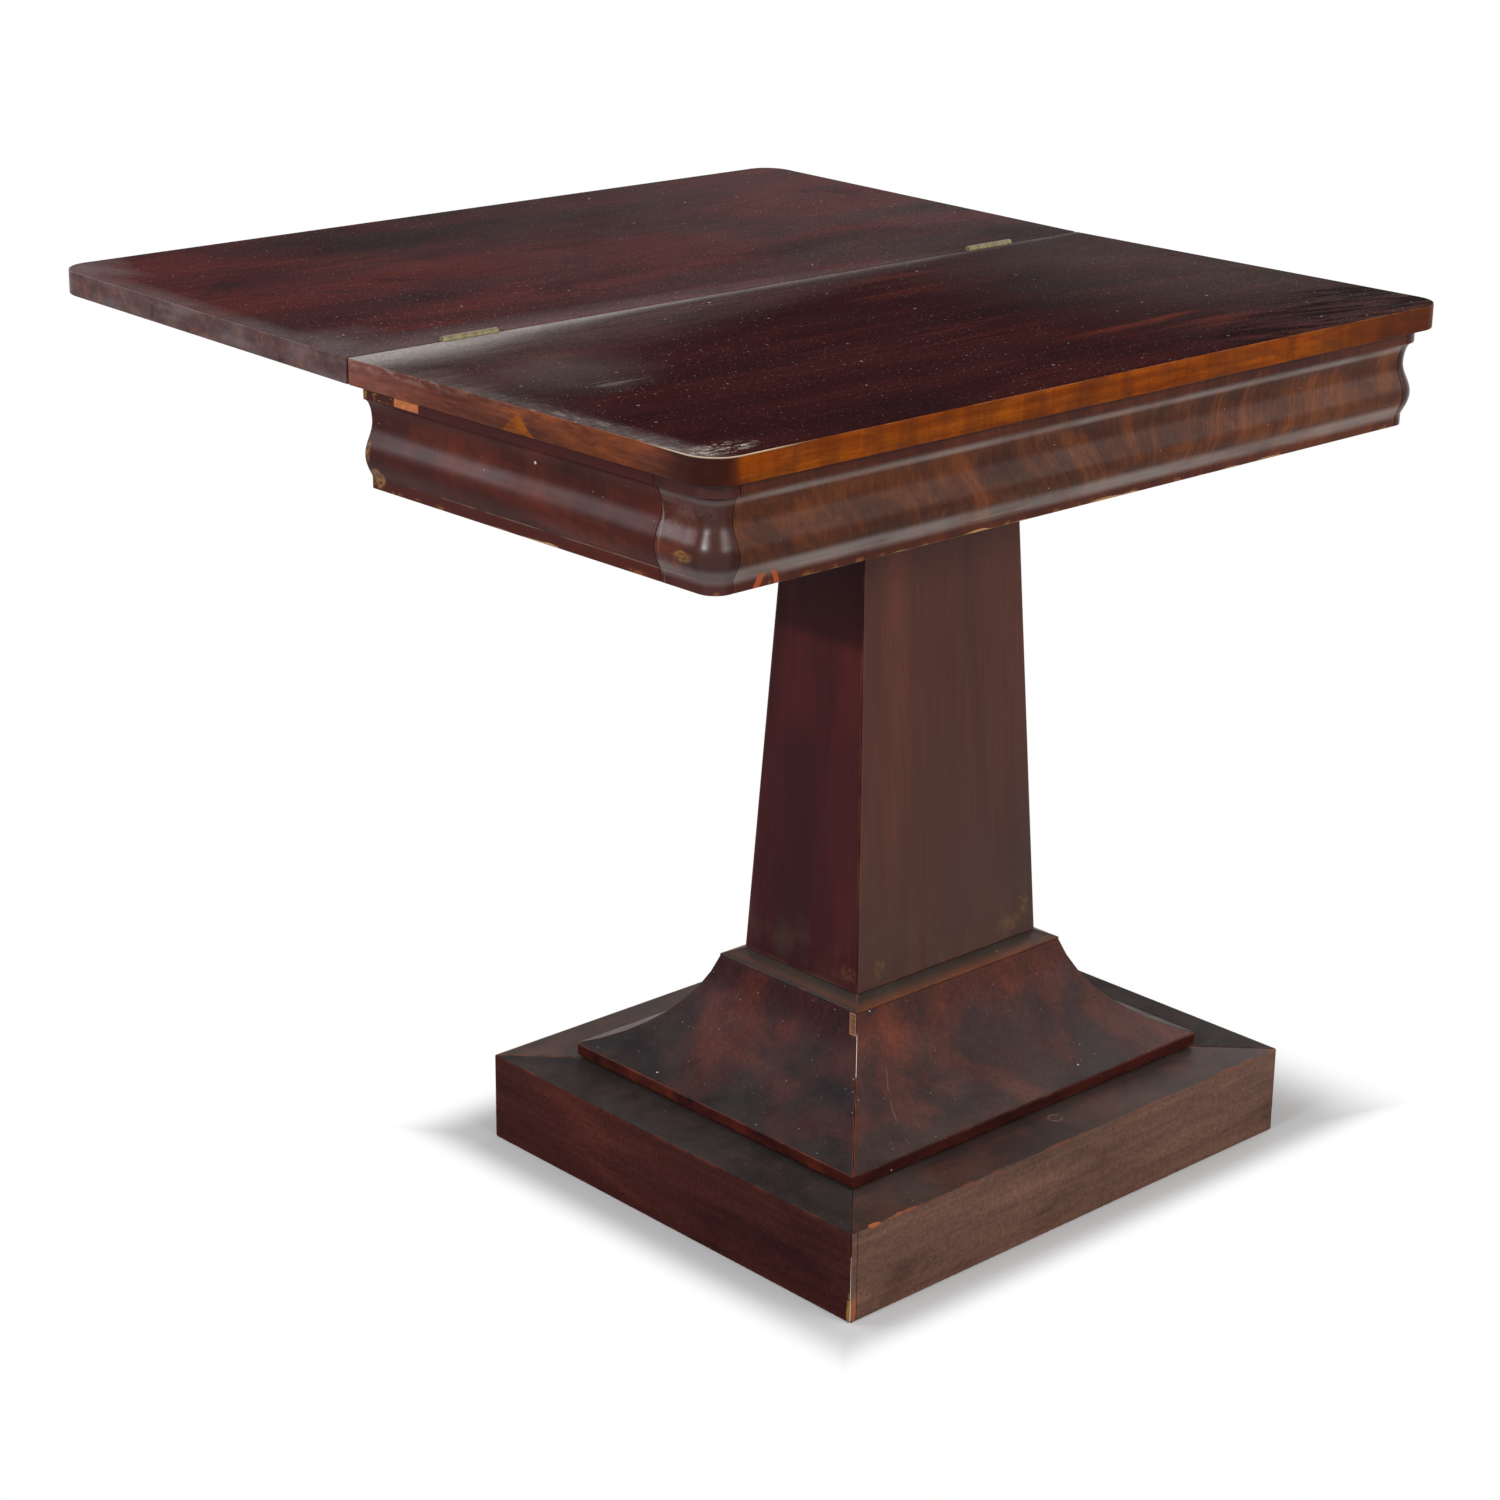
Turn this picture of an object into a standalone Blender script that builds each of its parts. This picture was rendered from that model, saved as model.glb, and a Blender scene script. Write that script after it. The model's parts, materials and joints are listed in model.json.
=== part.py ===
# Swivel-top card table on a tapered pillar and a box plinth.
# Metres, +Z up. The origin is the middle of the plinth's underside, on the floor.
# +X runs along the table's long side, and the long moulded side faces -Y.
# The top turns about a bolt in the frame, and the flap folds over onto the fixed leaf.
import math

import bmesh
import bpy
from mathutils import Vector

# General fits
FIT_GAP = 0.0003
OVERRUN = 0.004
MERGE_DISTANCE = 0.00001

# Frame moulding
FRAME_HEIGHT = 0.086
RAIL_THICKNESS = 0.022
BACK_RAIL_THICKNESS = 0.020
INNER_CORNER_RADIUS = 0.001
CORNER_STUB_FRONT = 0.003
CORNER_STUB_SIDE = 0.041
TOP_FILLET_HEIGHT = 0.0120
COVE_INSET = 0.0080
COVE_DROP = 0.0310
BULGE_INSET = 0.0003
BULGE_HEIGHT = 0.0290
FOOT_INSET = 0.0070
FOOT_FILLET_HEIGHT = 0.0100

# Top
TABLE_HEIGHT = 0.743
LEAF_WIDTH = 0.860
LEAF_THICKNESS = 0.022
LEAF_ARRIS = 0.0010
LEAF_CORNER_RADIUS = 0.028
EDGE_OVERHANG = 0.0115
BACK_OVERHANG = 0.0040
TOP_SET_FORWARD = 0.0178
SLIDE_GAP = 0.0005
JOINT_GAP = 0.0016
STOP_GAP = 0.0003
FLAP_RISE = math.radians(1.1)

# Brass hinges
HINGE_LENGTH = 0.056
HINGE_FROM_END = 0.1225
KNUCKLE_COUNT = 5
KNUCKLE_RADIUS = 0.0035
KNUCKLE_GAP = 0.0004
PIN_RADIUS = 0.0013
PIN_RISE = 0.0004
PLATE_THICKNESS = 0.0015
PLATE_MARGIN = 0.0040
HINGE_SCREW_SPACING = 0.032
HINGE_SCREW_LENGTH = 0.012
HINGE_SCREW_RADIUS = 0.0013
HINGE_SCREW_HEAD_RADIUS = 0.0026
HINGE_SCREW_HEAD_HEIGHT = 0.0012

# Swivel
BOLT_RADIUS = 0.0070
BOLT_CLEARANCE = 0.0005
BOLT_TAIL = 0.0050
FLANGE_RADIUS = 0.0280
FLANGE_THICKNESS = 0.0030
PIVOT_BOARD_THICKNESS = 0.022
PIVOT_BOARD_DROP = 0.0010
WASHER_RADIUS = 0.0170
WASHER_THICKNESS = 0.0020
NUT_WIDTH = 0.0220
NUT_HEIGHT = 0.0090
STOP_RADIUS = 0.0550
STOP_START = math.radians(225)
DOWEL_RADIUS = 0.0060
DOWEL_IN_LEAF = 0.0080
DOWEL_BELOW_LEAF = 0.0120
GROOVE_CLEARANCE = 0.0005

# Card well and head bearer
DIVIDER_THICKNESS = 0.016
WELL_BOTTOM_THICKNESS = 0.008
CLEAT_WIDTH = 0.014
CLEAT_HEIGHT = 0.014
BEARER_THICKNESS = 0.024
BEARER_MARGIN = 0.040
BEARER_RECESS = 0.003
BEARER_SCREW_LENGTH = 0.045
BEARER_SCREW_RADIUS = 0.0024
BEARER_SCREW_HEAD_RADIUS = 0.0045
BEARER_SCREW_HEAD_HEIGHT = 0.0026
BEARER_SCREW_SPACING_X = 0.100
BEARER_SCREW_SPACING_Y = 0.036

# Pillar
COLUMN_FOOT_WIDTH = 0.2224
COLUMN_FOOT_DEPTH = 0.1408
COLUMN_HEAD_WIDTH = 0.1812
COLUMN_HEAD_DEPTH = 0.0912
COLUMN_BOARD_THICKNESS = 0.016
COLUMN_BLOCK_HEIGHT = 0.060

# Cove block under the pillar
CAP_THICKNESS = 0.0087
CAP_RIM = 0.0017
CAP_LEDGE = 0.0158
COVE_BLOCK_RUN = 0.0893
COVE_BLOCK_RISE = 0.0879
COVE_BLOCK_SAG = 0.0158
COVE_BOARD_SHOULDER = 0.022
COVE_BOARD_FOOT = 0.040
CORE_CLEARANCE = 0.010
BASE_BOARD_THICKNESS = 0.0135
BASE_BOARD_LOWER_EASE = 0.0030
BASE_BOARD_UPPER_EASE = 0.0010

# Plinth
PLINTH_HEIGHT = 0.080
PLINTH_LEDGE = 0.0528
PLINTH_BEARING = 0.012
PLINTH_BEARER_WIDTH = 0.120
PLINTH_BEARER_THICKNESS = 0.024
POST_WIDTH = 0.100
GLUE_BLOCK_LEG = 0.050
GLUE_BLOCK_HEIGHT = 0.050
GLUE_BLOCK_LIFT = 0.010

# Numbers of steps in round shapes
CURVE_STEPS = 8
CORNER_STEPS = 8
SCREW_STEPS = 12
ROUND_STEPS = 32

# Sizes worked out from the ones above
MITRE_SETBACK = FIT_GAP / math.sqrt(2)
LEAF_DEPTH = LEAF_WIDTH / 2
LEAF_FRONT = -(TOP_SET_FORWARD + LEAF_DEPTH / 2)
HINGE_Y = LEAF_FRONT + LEAF_DEPTH
HINGE_Z = TABLE_HEIGHT + PIN_RISE
LEAF_UNDERSIDE = TABLE_HEIGHT - LEAF_THICKNESS
FRAME_CORNER_RADIUS = RAIL_THICKNESS + INNER_CORNER_RADIUS
FRAME_HALF = LEAF_WIDTH / 2 - EDGE_OVERHANG
FRAME_FRONT = LEAF_FRONT + EDGE_OVERHANG
FRAME_BACK = HINGE_Y - BACK_OVERHANG
FRAME_TOP = LEAF_UNDERSIDE - SLIDE_GAP
FRAME_BOTTOM = FRAME_TOP - FRAME_HEIGHT
INNER_HALF = FRAME_HALF - RAIL_THICKNESS
INNER_FRONT = FRAME_FRONT + RAIL_THICKNESS
INNER_BACK = FRAME_BACK - BACK_RAIL_THICKNESS
PIVOT_X = LEAF_DEPTH / 4
PIVOT_Y = LEAF_FRONT + LEAF_DEPTH / 2 + LEAF_DEPTH / 4
PIVOT_BOARD_TOP = FRAME_TOP - PIVOT_BOARD_DROP
PIVOT_BOARD_BOTTOM = PIVOT_BOARD_TOP - PIVOT_BOARD_THICKNESS
WASHER_TOP = PIVOT_BOARD_BOTTOM - FIT_GAP
NUT_TOP = WASHER_TOP - WASHER_THICKNESS - FIT_GAP
BOLT_END = NUT_TOP - NUT_HEIGHT - BOLT_TAIL
BEARER_BOTTOM = FRAME_BOTTOM + BEARER_RECESS
BEARER_TOP = BEARER_BOTTOM + BEARER_THICKNESS
BEARER_HALF = COLUMN_HEAD_WIDTH / 2 + BEARER_MARGIN
BASE_BOARD_BOTTOM = PLINTH_HEIGHT + FIT_GAP
BASE_BOARD_TOP = BASE_BOARD_BOTTOM + BASE_BOARD_THICKNESS
COVE_BOTTOM = BASE_BOARD_TOP + FIT_GAP
COVE_TOP = COVE_BOTTOM + COVE_BLOCK_RISE
CAP_BOTTOM = COVE_TOP + FIT_GAP
CAP_TOP = CAP_BOTTOM + CAP_THICKNESS
COLUMN_BOTTOM = CAP_TOP + FIT_GAP
COLUMN_TOP = BEARER_BOTTOM - FIT_GAP
CAP_HALF = (COLUMN_FOOT_WIDTH / 2 + CAP_LEDGE, COLUMN_FOOT_DEPTH / 2 + CAP_LEDGE)
COVE_FOOT_HALF = (CAP_HALF[0] + COVE_BLOCK_RUN, CAP_HALF[1] + COVE_BLOCK_RUN)
PLINTH_HALF = (COVE_FOOT_HALF[0] + PLINTH_LEDGE, COVE_FOOT_HALF[1] + PLINTH_LEDGE)
PLINTH_RAIL_WIDTH = PLINTH_LEDGE + PLINTH_BEARING
HOLLOW_HALF = (PLINTH_HALF[0] - PLINTH_RAIL_WIDTH, PLINTH_HALF[1] - PLINTH_RAIL_WIDTH)

# Finishes: colour, roughness, metallic
FINISHES = {
    "mahogany_top": ((0.048, 0.015, 0.013), 0.42, 0.0),
    "mahogany_flame": ((0.110, 0.030, 0.014), 0.30, 0.0),
    "mahogany_side": ((0.070, 0.016, 0.012), 0.32, 0.0),
    "mahogany_pillar": ((0.042, 0.012, 0.013), 0.36, 0.0),
    "mahogany_base": ((0.040, 0.013, 0.011), 0.38, 0.0),
    "pine": ((0.380, 0.230, 0.110), 0.75, 0.0),
    "beech": ((0.460, 0.300, 0.180), 0.65, 0.0),
    "brass": ((0.360, 0.250, 0.080), 0.38, 1.0),
    "iron": ((0.080, 0.075, 0.070), 0.60, 1.0),
}


def clear_scene():
    for old in list(bpy.data.objects):
        bpy.data.objects.remove(old, do_unlink=True)


def make_collection(name):
    collection = bpy.data.collections.new(name)
    bpy.context.scene.collection.children.link(collection)
    return collection


def make_material(name):
    colour, roughness, metallic = FINISHES[name]
    material = bpy.data.materials.new(name)
    material.use_nodes = True
    shader = material.node_tree.nodes["Principled BSDF"]
    shader.inputs["Base Color"].default_value = (*colour, 1.0)
    shader.inputs["Roughness"].default_value = roughness
    shader.inputs["Metallic"].default_value = metallic
    material.diffuse_color = (*colour, 1.0)
    return material


clear_scene()
TABLE = make_collection("card_table")
CUTTERS = make_collection("cutters")
MATERIALS = {finish: make_material(finish) for finish in FINISHES}


def make_axis(name, location, rotation=(0, 0, 0), parent=None):
    """An empty that marks a joint's axis; what moves with the joint is its child."""
    axis = bpy.data.objects.new(name, None)
    axis.location = location
    axis.rotation_euler = rotation
    TABLE.objects.link(axis)
    if parent:
        hang_on(axis, parent)
    bpy.context.view_layer.update()
    return axis


def hang_on(piece, parent):
    """Parents a piece and keeps the place that it was given in the world."""
    piece.parent = parent
    piece.matrix_parent_inverse = parent.matrix_world.inverted()


def make_piece(name, mesh_data, finish, location=(0, 0, 0), rotation=(0, 0, 0)):
    mesh = bpy.data.meshes.new(name)
    bmesh.ops.recalc_face_normals(mesh_data, faces=mesh_data.faces)
    mesh_data.to_mesh(mesh)
    mesh_data.free()
    piece = bpy.data.objects.new(name, mesh)
    piece.location = location
    piece.rotation_euler = rotation
    if finish is None:
        piece.hide_render = True
        piece.display_type = "WIRE"
        CUTTERS.objects.link(piece)
    else:
        mesh.materials.append(MATERIALS[finish])
        TABLE.objects.link(piece)
    return piece


def cut(piece, cutter):
    step = piece.modifiers.new("cut " + cutter.name, "BOOLEAN")
    step.operation = "DIFFERENCE"
    step.solver = "EXACT"
    step.object = cutter


def block_mesh(low, high):
    """A box between two corners, as mesh data."""
    box = bmesh.new()
    bmesh.ops.create_cube(box, size=1.0)
    size = Vector(high) - Vector(low)
    middle = (Vector(high) + Vector(low)) / 2
    bmesh.ops.scale(box, vec=size, verts=box.verts)
    bmesh.ops.translate(box, vec=middle, verts=box.verts)
    return box


def block(name, low, high, finish):
    """A box between two corners of the world, with its origin at its own middle."""
    half = (Vector(high) - Vector(low)) / 2
    middle = (Vector(high) + Vector(low)) / 2
    return make_piece(name, block_mesh(-half, half), finish, middle)


def stacked_block(name, levels, finish):
    """A block whose outline changes with height: each level is a height and four plan corners."""
    (low, foot), (high, head) = levels[:2]
    body = bmesh.new()
    bmesh.ops.create_cube(body, size=1.0)
    order = {(-1, -1): 0, (1, -1): 1, (1, 1): 2, (-1, 1): 3}
    corner_of = {}
    for vert in body.verts:
        corner_of[vert] = order[(int(math.copysign(1, vert.co.x)), int(math.copysign(1, vert.co.y)))]
    top = [vert for vert in body.verts if vert.co.z > 0]
    for vert in body.verts:
        height, outline = (high, head) if vert in top else (low, foot)
        vert.co = (*outline[corner_of[vert]], height - low)
    for height, outline in levels[2:]:
        lid = next(face for face in body.faces if all(vert in top for vert in face.verts))
        old_corners = [(vert.co.copy(), corner_of[vert]) for vert in lid.verts]
        grown = bmesh.ops.extrude_face_region(body, geom=[lid])
        bmesh.ops.delete(body, geom=[lid], context="FACES_ONLY")
        top = [item for item in grown["geom"] if isinstance(item, bmesh.types.BMVert)]
        for vert in top:
            corner = next(index for place, index in old_corners if (place - vert.co).length == 0)
            corner_of[vert] = corner
            vert.co = (*outline[corner], height - low)
    return make_piece(name, body, finish, (0, 0, low))


def rectangle(half_x, half_y, inset=0.0):
    x, y = half_x - inset, half_y - inset
    return [(-x, -y), (x, -y), (x, y), (-x, y)]


def mitred_ring(half_x, half_y, width):
    """Plan corners of the four mitred boards that stand round a rectangle."""
    x, y, w, c = half_x, half_y, width, MITRE_SETBACK
    front = [(c - x, -y), (x - c, -y), (x - w - c, w - y), (w + c - x, w - y)]
    right = [(x - w, w + c - y), (x, c - y), (x, y - c), (x - w, y - w - c)]
    return {
        "front": front,
        "back": [(px, -py) for px, py in (front[3], front[2], front[1], front[0])],
        "left": [(-px, py) for px, py in (right[1], right[0], right[3], right[2])],
        "right": right,
    }


def swept_mesh(section, moves):
    """Carries a closed outline of 3D points along slides and turns, and closes both ends."""
    body = bmesh.new()
    verts = [body.verts.new(point) for point in section]
    first = [body.edges.new(pair) for pair in zip(verts, verts[1:] + verts[:1])]
    edges = first
    for kind, *values in moves:
        if kind == "slide":
            grown = bmesh.ops.extrude_edge_only(body, edges=edges)["geom"]
            moved = [item for item in grown if isinstance(item, bmesh.types.BMVert)]
            bmesh.ops.translate(body, vec=values[0], verts=moved)
        else:
            centre, angle, steps = values
            grown = bmesh.ops.spin(body, geom=edges, cent=centre, axis=(0, 0, 1),
                                   dvec=(0, 0, 0), angle=angle, steps=steps)["geom_last"]
        edges = [item for item in grown if isinstance(item, bmesh.types.BMEdge)]
    bmesh.ops.contextual_create(body, geom=first)
    bmesh.ops.contextual_create(body, geom=edges)
    return body


def turned(name, profile, finish, location, rotation=(0, 0, 0), steps=ROUND_STEPS):
    """A lathe-turned piece; its profile runs down the outer side, as radius and height."""
    outline = bmesh.new()
    verts = [outline.verts.new((radius, 0, height)) for radius, height in profile]
    for pair in zip(verts, verts[1:]):
        outline.edges.new(pair)
    piece = make_piece(name, outline, finish, location, rotation)
    lathe = piece.modifiers.new("turn", "SCREW")
    lathe.axis = "Z"
    lathe.steps = steps
    lathe.render_steps = steps
    lathe.use_merge_vertices = True
    lathe.merge_threshold = MERGE_DISTANCE
    return piece


def screw_profile(length, shank, head, head_height, grow=0.0):
    """A countersunk wood screw with its head's flat at height zero; grow makes its hole."""
    lead = [(0, OVERRUN), (head + grow, OVERRUN)] if grow else [(0, 0)]
    return lead + [
        (head + grow, 0),
        (shank + grow, -head_height),
        (shank + grow, -(length - shank)),
        (0, -(length + grow)),
    ]


def wood_screw(name, sizes, location, rotation, parent=None):
    """A screw and the cutter of its hole, both in one place."""
    screw = turned(name, screw_profile(*sizes), "iron", location, rotation, SCREW_STEPS)
    hole = turned(name + "_hole", screw_profile(*sizes, FIT_GAP), None, location, rotation,
                  SCREW_STEPS)
    if parent:
        hang_on(screw, parent)
        hang_on(hole, parent)
    return screw, hole


# Plinth

def build_plinth():
    sides = mitred_ring(*PLINTH_HALF, PLINTH_RAIL_WIDTH)
    for side, outline in sides.items():
        stacked_block(f"plinth_{side}_rail", [(0, outline), (PLINTH_HEIGHT, outline)],
                      "mahogany_base")
    reach = HOLLOW_HALF[1] - FIT_GAP
    half = PLINTH_BEARER_WIDTH / 2
    block("plinth_cross_bearer", (-half, -reach, 0), (half, reach, PLINTH_BEARER_THICKNESS),
          "pine")
    half = POST_WIDTH / 2
    block("plinth_center_post", (-half, -half, PLINTH_BEARER_THICKNESS + FIT_GAP),
          (half, half, PLINTH_HEIGHT), "pine")
    for x_name, x_sign in (("left", -1), ("right", 1)):
        for y_name, y_sign in (("front", -1), ("back", 1)):
            build_glue_block(f"plinth_glue_block_{y_name}_{x_name}", x_sign, y_sign)


def build_glue_block(name, x_sign, y_sign):
    """A block of triangular plan that fills a corner of the plinth's hollow."""
    leg = GLUE_BLOCK_LEG
    body = block_mesh((-leg, -leg, 0), (0, 0, GLUE_BLOCK_HEIGHT))
    halves = body.verts[:] + body.edges[:] + body.faces[:]
    cut_edges = bmesh.ops.bisect_plane(body, geom=halves, plane_co=(-leg, 0, 0),
                                       plane_no=(-1, -1, 0), clear_outer=True)["geom_cut"]
    loop = [item for item in cut_edges if isinstance(item, bmesh.types.BMEdge)]
    bmesh.ops.contextual_create(body, geom=loop)
    bmesh.ops.scale(body, vec=(x_sign, y_sign, 1), verts=body.verts)
    corner = (x_sign * (HOLLOW_HALF[0] - FIT_GAP), y_sign * (HOLLOW_HALF[1] - FIT_GAP))
    make_piece(name, body, "pine", (*corner, GLUE_BLOCK_LIFT))


# Cove block

def cove_points():
    """The hollow face from its foot to its top, as outward distance and height."""
    chord = math.hypot(COVE_BLOCK_RUN, COVE_BLOCK_RISE)
    radius = (chord ** 2 / 4 + COVE_BLOCK_SAG ** 2) / (2 * COVE_BLOCK_SAG)
    half_turn = math.asin(chord / (2 * radius))
    along = Vector((-COVE_BLOCK_RUN, COVE_BLOCK_RISE)) / chord
    inward = Vector((-COVE_BLOCK_RISE, -COVE_BLOCK_RUN)) / chord
    middle = Vector((COVE_BLOCK_RUN, COVE_BLOCK_RISE)) / 2
    points = []
    for step in range(CURVE_STEPS + 1):
        angle = half_turn * (2 * step / CURVE_STEPS - 1)
        dip = radius * math.cos(angle) - (radius - COVE_BLOCK_SAG)
        points.append(middle + along * radius * math.sin(angle) + inward * dip)
    return points


def build_cove_board(name, half_length, distance, turn):
    """One hollow-faced board, made facing -Y with mitred ends and then turned to its side."""
    section = [(out, height) for out, height in cove_points()]
    section += [(-COVE_BOARD_SHOULDER, COVE_BLOCK_RISE), (COVE_BLOCK_RUN - COVE_BOARD_FOOT, 0)]
    reach = half_length + COVE_BLOCK_RUN + OVERRUN
    ring = [(-reach, -distance - out, height) for out, height in section]
    body = swept_mesh(ring, [("slide", (2 * reach, 0, 0))])
    for side in (-1, 1):
        whole = body.verts[:] + body.edges[:] + body.faces[:]
        mitre = (side * (half_length - 2 * MITRE_SETBACK), -distance, 0)
        cut_edges = bmesh.ops.bisect_plane(body, geom=whole, plane_co=mitre,
                                           plane_no=(side, 1, 0), clear_outer=True)["geom_cut"]
        loop = [item for item in cut_edges if isinstance(item, bmesh.types.BMEdge)]
        bmesh.ops.contextual_create(body, geom=loop)
    make_piece(name, body, "mahogany_base", (0, 0, COVE_BOTTOM), (0, 0, turn))


def build_cove_block():
    outline = COVE_FOOT_HALF
    stacked_block("cove_base_board", [
        (BASE_BOARD_BOTTOM, rectangle(*outline, BASE_BOARD_LOWER_EASE)),
        (BASE_BOARD_BOTTOM + BASE_BOARD_LOWER_EASE, rectangle(*outline)),
        (BASE_BOARD_TOP - BASE_BOARD_UPPER_EASE, rectangle(*outline)),
        (BASE_BOARD_TOP, rectangle(*outline, BASE_BOARD_UPPER_EASE)),
    ], "mahogany_base")
    quarter = math.pi / 2
    build_cove_board("cove_front_board", CAP_HALF[0], CAP_HALF[1], 0)
    build_cove_board("cove_right_board", CAP_HALF[1], CAP_HALF[0], quarter)
    build_cove_board("cove_back_board", CAP_HALF[0], CAP_HALF[1], 2 * quarter)
    build_cove_board("cove_left_board", CAP_HALF[1], CAP_HALF[0], -quarter)
    core_inset = COVE_BOARD_SHOULDER + CORE_CLEARANCE
    core = rectangle(*CAP_HALF, core_inset)
    stacked_block("cove_core_block", [(COVE_BOTTOM, core), (COVE_TOP, core)], "pine")
    column_foot = rectangle(COLUMN_FOOT_WIDTH / 2, COLUMN_FOOT_DEPTH / 2)
    stacked_block("cove_cap_board", [
        (CAP_BOTTOM, rectangle(*CAP_HALF)),
        (CAP_BOTTOM + CAP_RIM, rectangle(*CAP_HALF)),
        (CAP_TOP, column_foot),
    ], "mahogany_base")


# Pillar

def column_half(height):
    """Half width and half depth of the pillar at a height above the floor."""
    share = (height - COLUMN_BOTTOM) / (COLUMN_TOP - COLUMN_BOTTOM)
    width = COLUMN_FOOT_WIDTH + (COLUMN_HEAD_WIDTH - COLUMN_FOOT_WIDTH) * share
    depth = COLUMN_FOOT_DEPTH + (COLUMN_HEAD_DEPTH - COLUMN_FOOT_DEPTH) * share
    return width / 2, depth / 2


def build_column():
    foot = mitred_ring(*column_half(COLUMN_BOTTOM), COLUMN_BOARD_THICKNESS)
    head = mitred_ring(*column_half(COLUMN_TOP), COLUMN_BOARD_THICKNESS)
    for side in foot:
        stacked_block(f"column_{side}_board", [(COLUMN_BOTTOM, foot[side]), (COLUMN_TOP, head[side])],
                      "mahogany_pillar")
    inset = COLUMN_BOARD_THICKNESS + FIT_GAP
    foot_top = COLUMN_BOTTOM + COLUMN_BLOCK_HEIGHT
    head_bottom = COLUMN_TOP - COLUMN_BLOCK_HEIGHT
    stacked_block("column_foot_block", [
        (COLUMN_BOTTOM, rectangle(*column_half(COLUMN_BOTTOM), inset)),
        (foot_top, rectangle(*column_half(foot_top), inset)),
    ], "pine")
    return stacked_block("column_head_block", [
        (head_bottom, rectangle(*column_half(head_bottom), inset)),
        (COLUMN_TOP, rectangle(*column_half(COLUMN_TOP), inset)),
    ], "pine")


# Frame

def moulding_points():
    """The frame's outer face, from the bottom up, as inset from the top fillet and height."""
    fillet_bottom = FRAME_HEIGHT - TOP_FILLET_HEIGHT
    cove_height = FRAME_HEIGHT - COVE_DROP
    points = [(FOOT_INSET, 0)]
    for step in range(CURVE_STEPS + 1):
        turn = math.pi / 2 * step / CURVE_STEPS
        inset = BULGE_INSET + (FOOT_INSET - BULGE_INSET) * (1 - math.sin(turn))
        share = step / CURVE_STEPS
        points.append((inset, FOOT_FILLET_HEIGHT + (BULGE_HEIGHT - FOOT_FILLET_HEIGHT) * share))
    for step in range(1, CURVE_STEPS + 1):
        share = step / CURVE_STEPS
        blend = (1 - math.cos(math.pi * share)) / 2
        points.append((BULGE_INSET + (COVE_INSET - BULGE_INSET) * blend,
                       BULGE_HEIGHT + (cove_height - BULGE_HEIGHT) * share))
    for step in range(1, CURVE_STEPS + 1):
        turn = math.pi / 2 * step / CURVE_STEPS
        points.append((COVE_INSET * math.cos(turn),
                       cove_height + (fillet_bottom - cove_height) * math.sin(turn)))
    return points + [(0, FRAME_HEIGHT)]


def rail_section(place):
    """The rail's closed section; place turns inset and height into a point of the world."""
    closed = moulding_points() + [(RAIL_THICKNESS, FRAME_HEIGHT), (RAIL_THICKNESS, 0)]
    return [place(inset, FRAME_BOTTOM + height) for inset, height in closed]


def build_frame_rails():
    corner_front = FRAME_HALF - FRAME_CORNER_RADIUS - CORNER_STUB_FRONT
    corner_side = FRAME_FRONT + FRAME_CORNER_RADIUS + CORNER_STUB_SIDE
    start = corner_front - FIT_GAP
    ring = rail_section(lambda inset, height: (-start, FRAME_FRONT + inset, height))
    make_piece("frame_front_rail", swept_mesh(ring, [("slide", (2 * start, 0, 0))]),
               "mahogany_flame")
    side_start = corner_side + FIT_GAP
    for name, sign in (("left", -1), ("right", 1)):
        ring = rail_section(
            lambda inset, height: (sign * (FRAME_HALF - inset), side_start, height))
        make_piece(f"frame_{name}_rail",
                   swept_mesh(ring, [("slide", (0, FRAME_BACK - side_start, 0))]),
                   "mahogany_side")
        centre = (sign * (FRAME_HALF - FRAME_CORNER_RADIUS),
                  FRAME_FRONT + FRAME_CORNER_RADIUS, 0)
        ring = rail_section(
            lambda inset, height: (sign * (FRAME_HALF - inset), corner_side, height))
        moves = [("slide", (0, -CORNER_STUB_SIDE, 0)),
                 ("turn", centre, -sign * math.pi / 2, CORNER_STEPS),
                 ("slide", (-sign * CORNER_STUB_FRONT, 0, 0))]
        make_piece(f"frame_corner_{name}", swept_mesh(ring, moves), "mahogany_side")
    block("frame_back_rail", (FIT_GAP - INNER_HALF, INNER_BACK, FRAME_BOTTOM),
          (INNER_HALF - FIT_GAP, FRAME_BACK, FRAME_TOP), "pine")


def build_bearer(head_block):
    """The board in the frame's bottom that is screwed down onto the pillar."""
    bearer = block("head_bearer", (-BEARER_HALF, INNER_FRONT + FIT_GAP, BEARER_BOTTOM),
                   (BEARER_HALF, INNER_BACK - FIT_GAP, BEARER_TOP), "pine")
    sizes = (BEARER_SCREW_LENGTH, BEARER_SCREW_RADIUS, BEARER_SCREW_HEAD_RADIUS,
             BEARER_SCREW_HEAD_HEIGHT)
    count = 0
    for x_sign in (-1, 1):
        for y_sign in (-1, 1):
            count += 1
            place = (x_sign * BEARER_SCREW_SPACING_X / 2, y_sign * BEARER_SCREW_SPACING_Y / 2,
                     BEARER_TOP)
            hole = wood_screw(f"bearer_screw_{count}", sizes, place, (0, 0, 0))[1]
            cut(bearer, hole)
            cut(head_block, hole)


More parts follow.
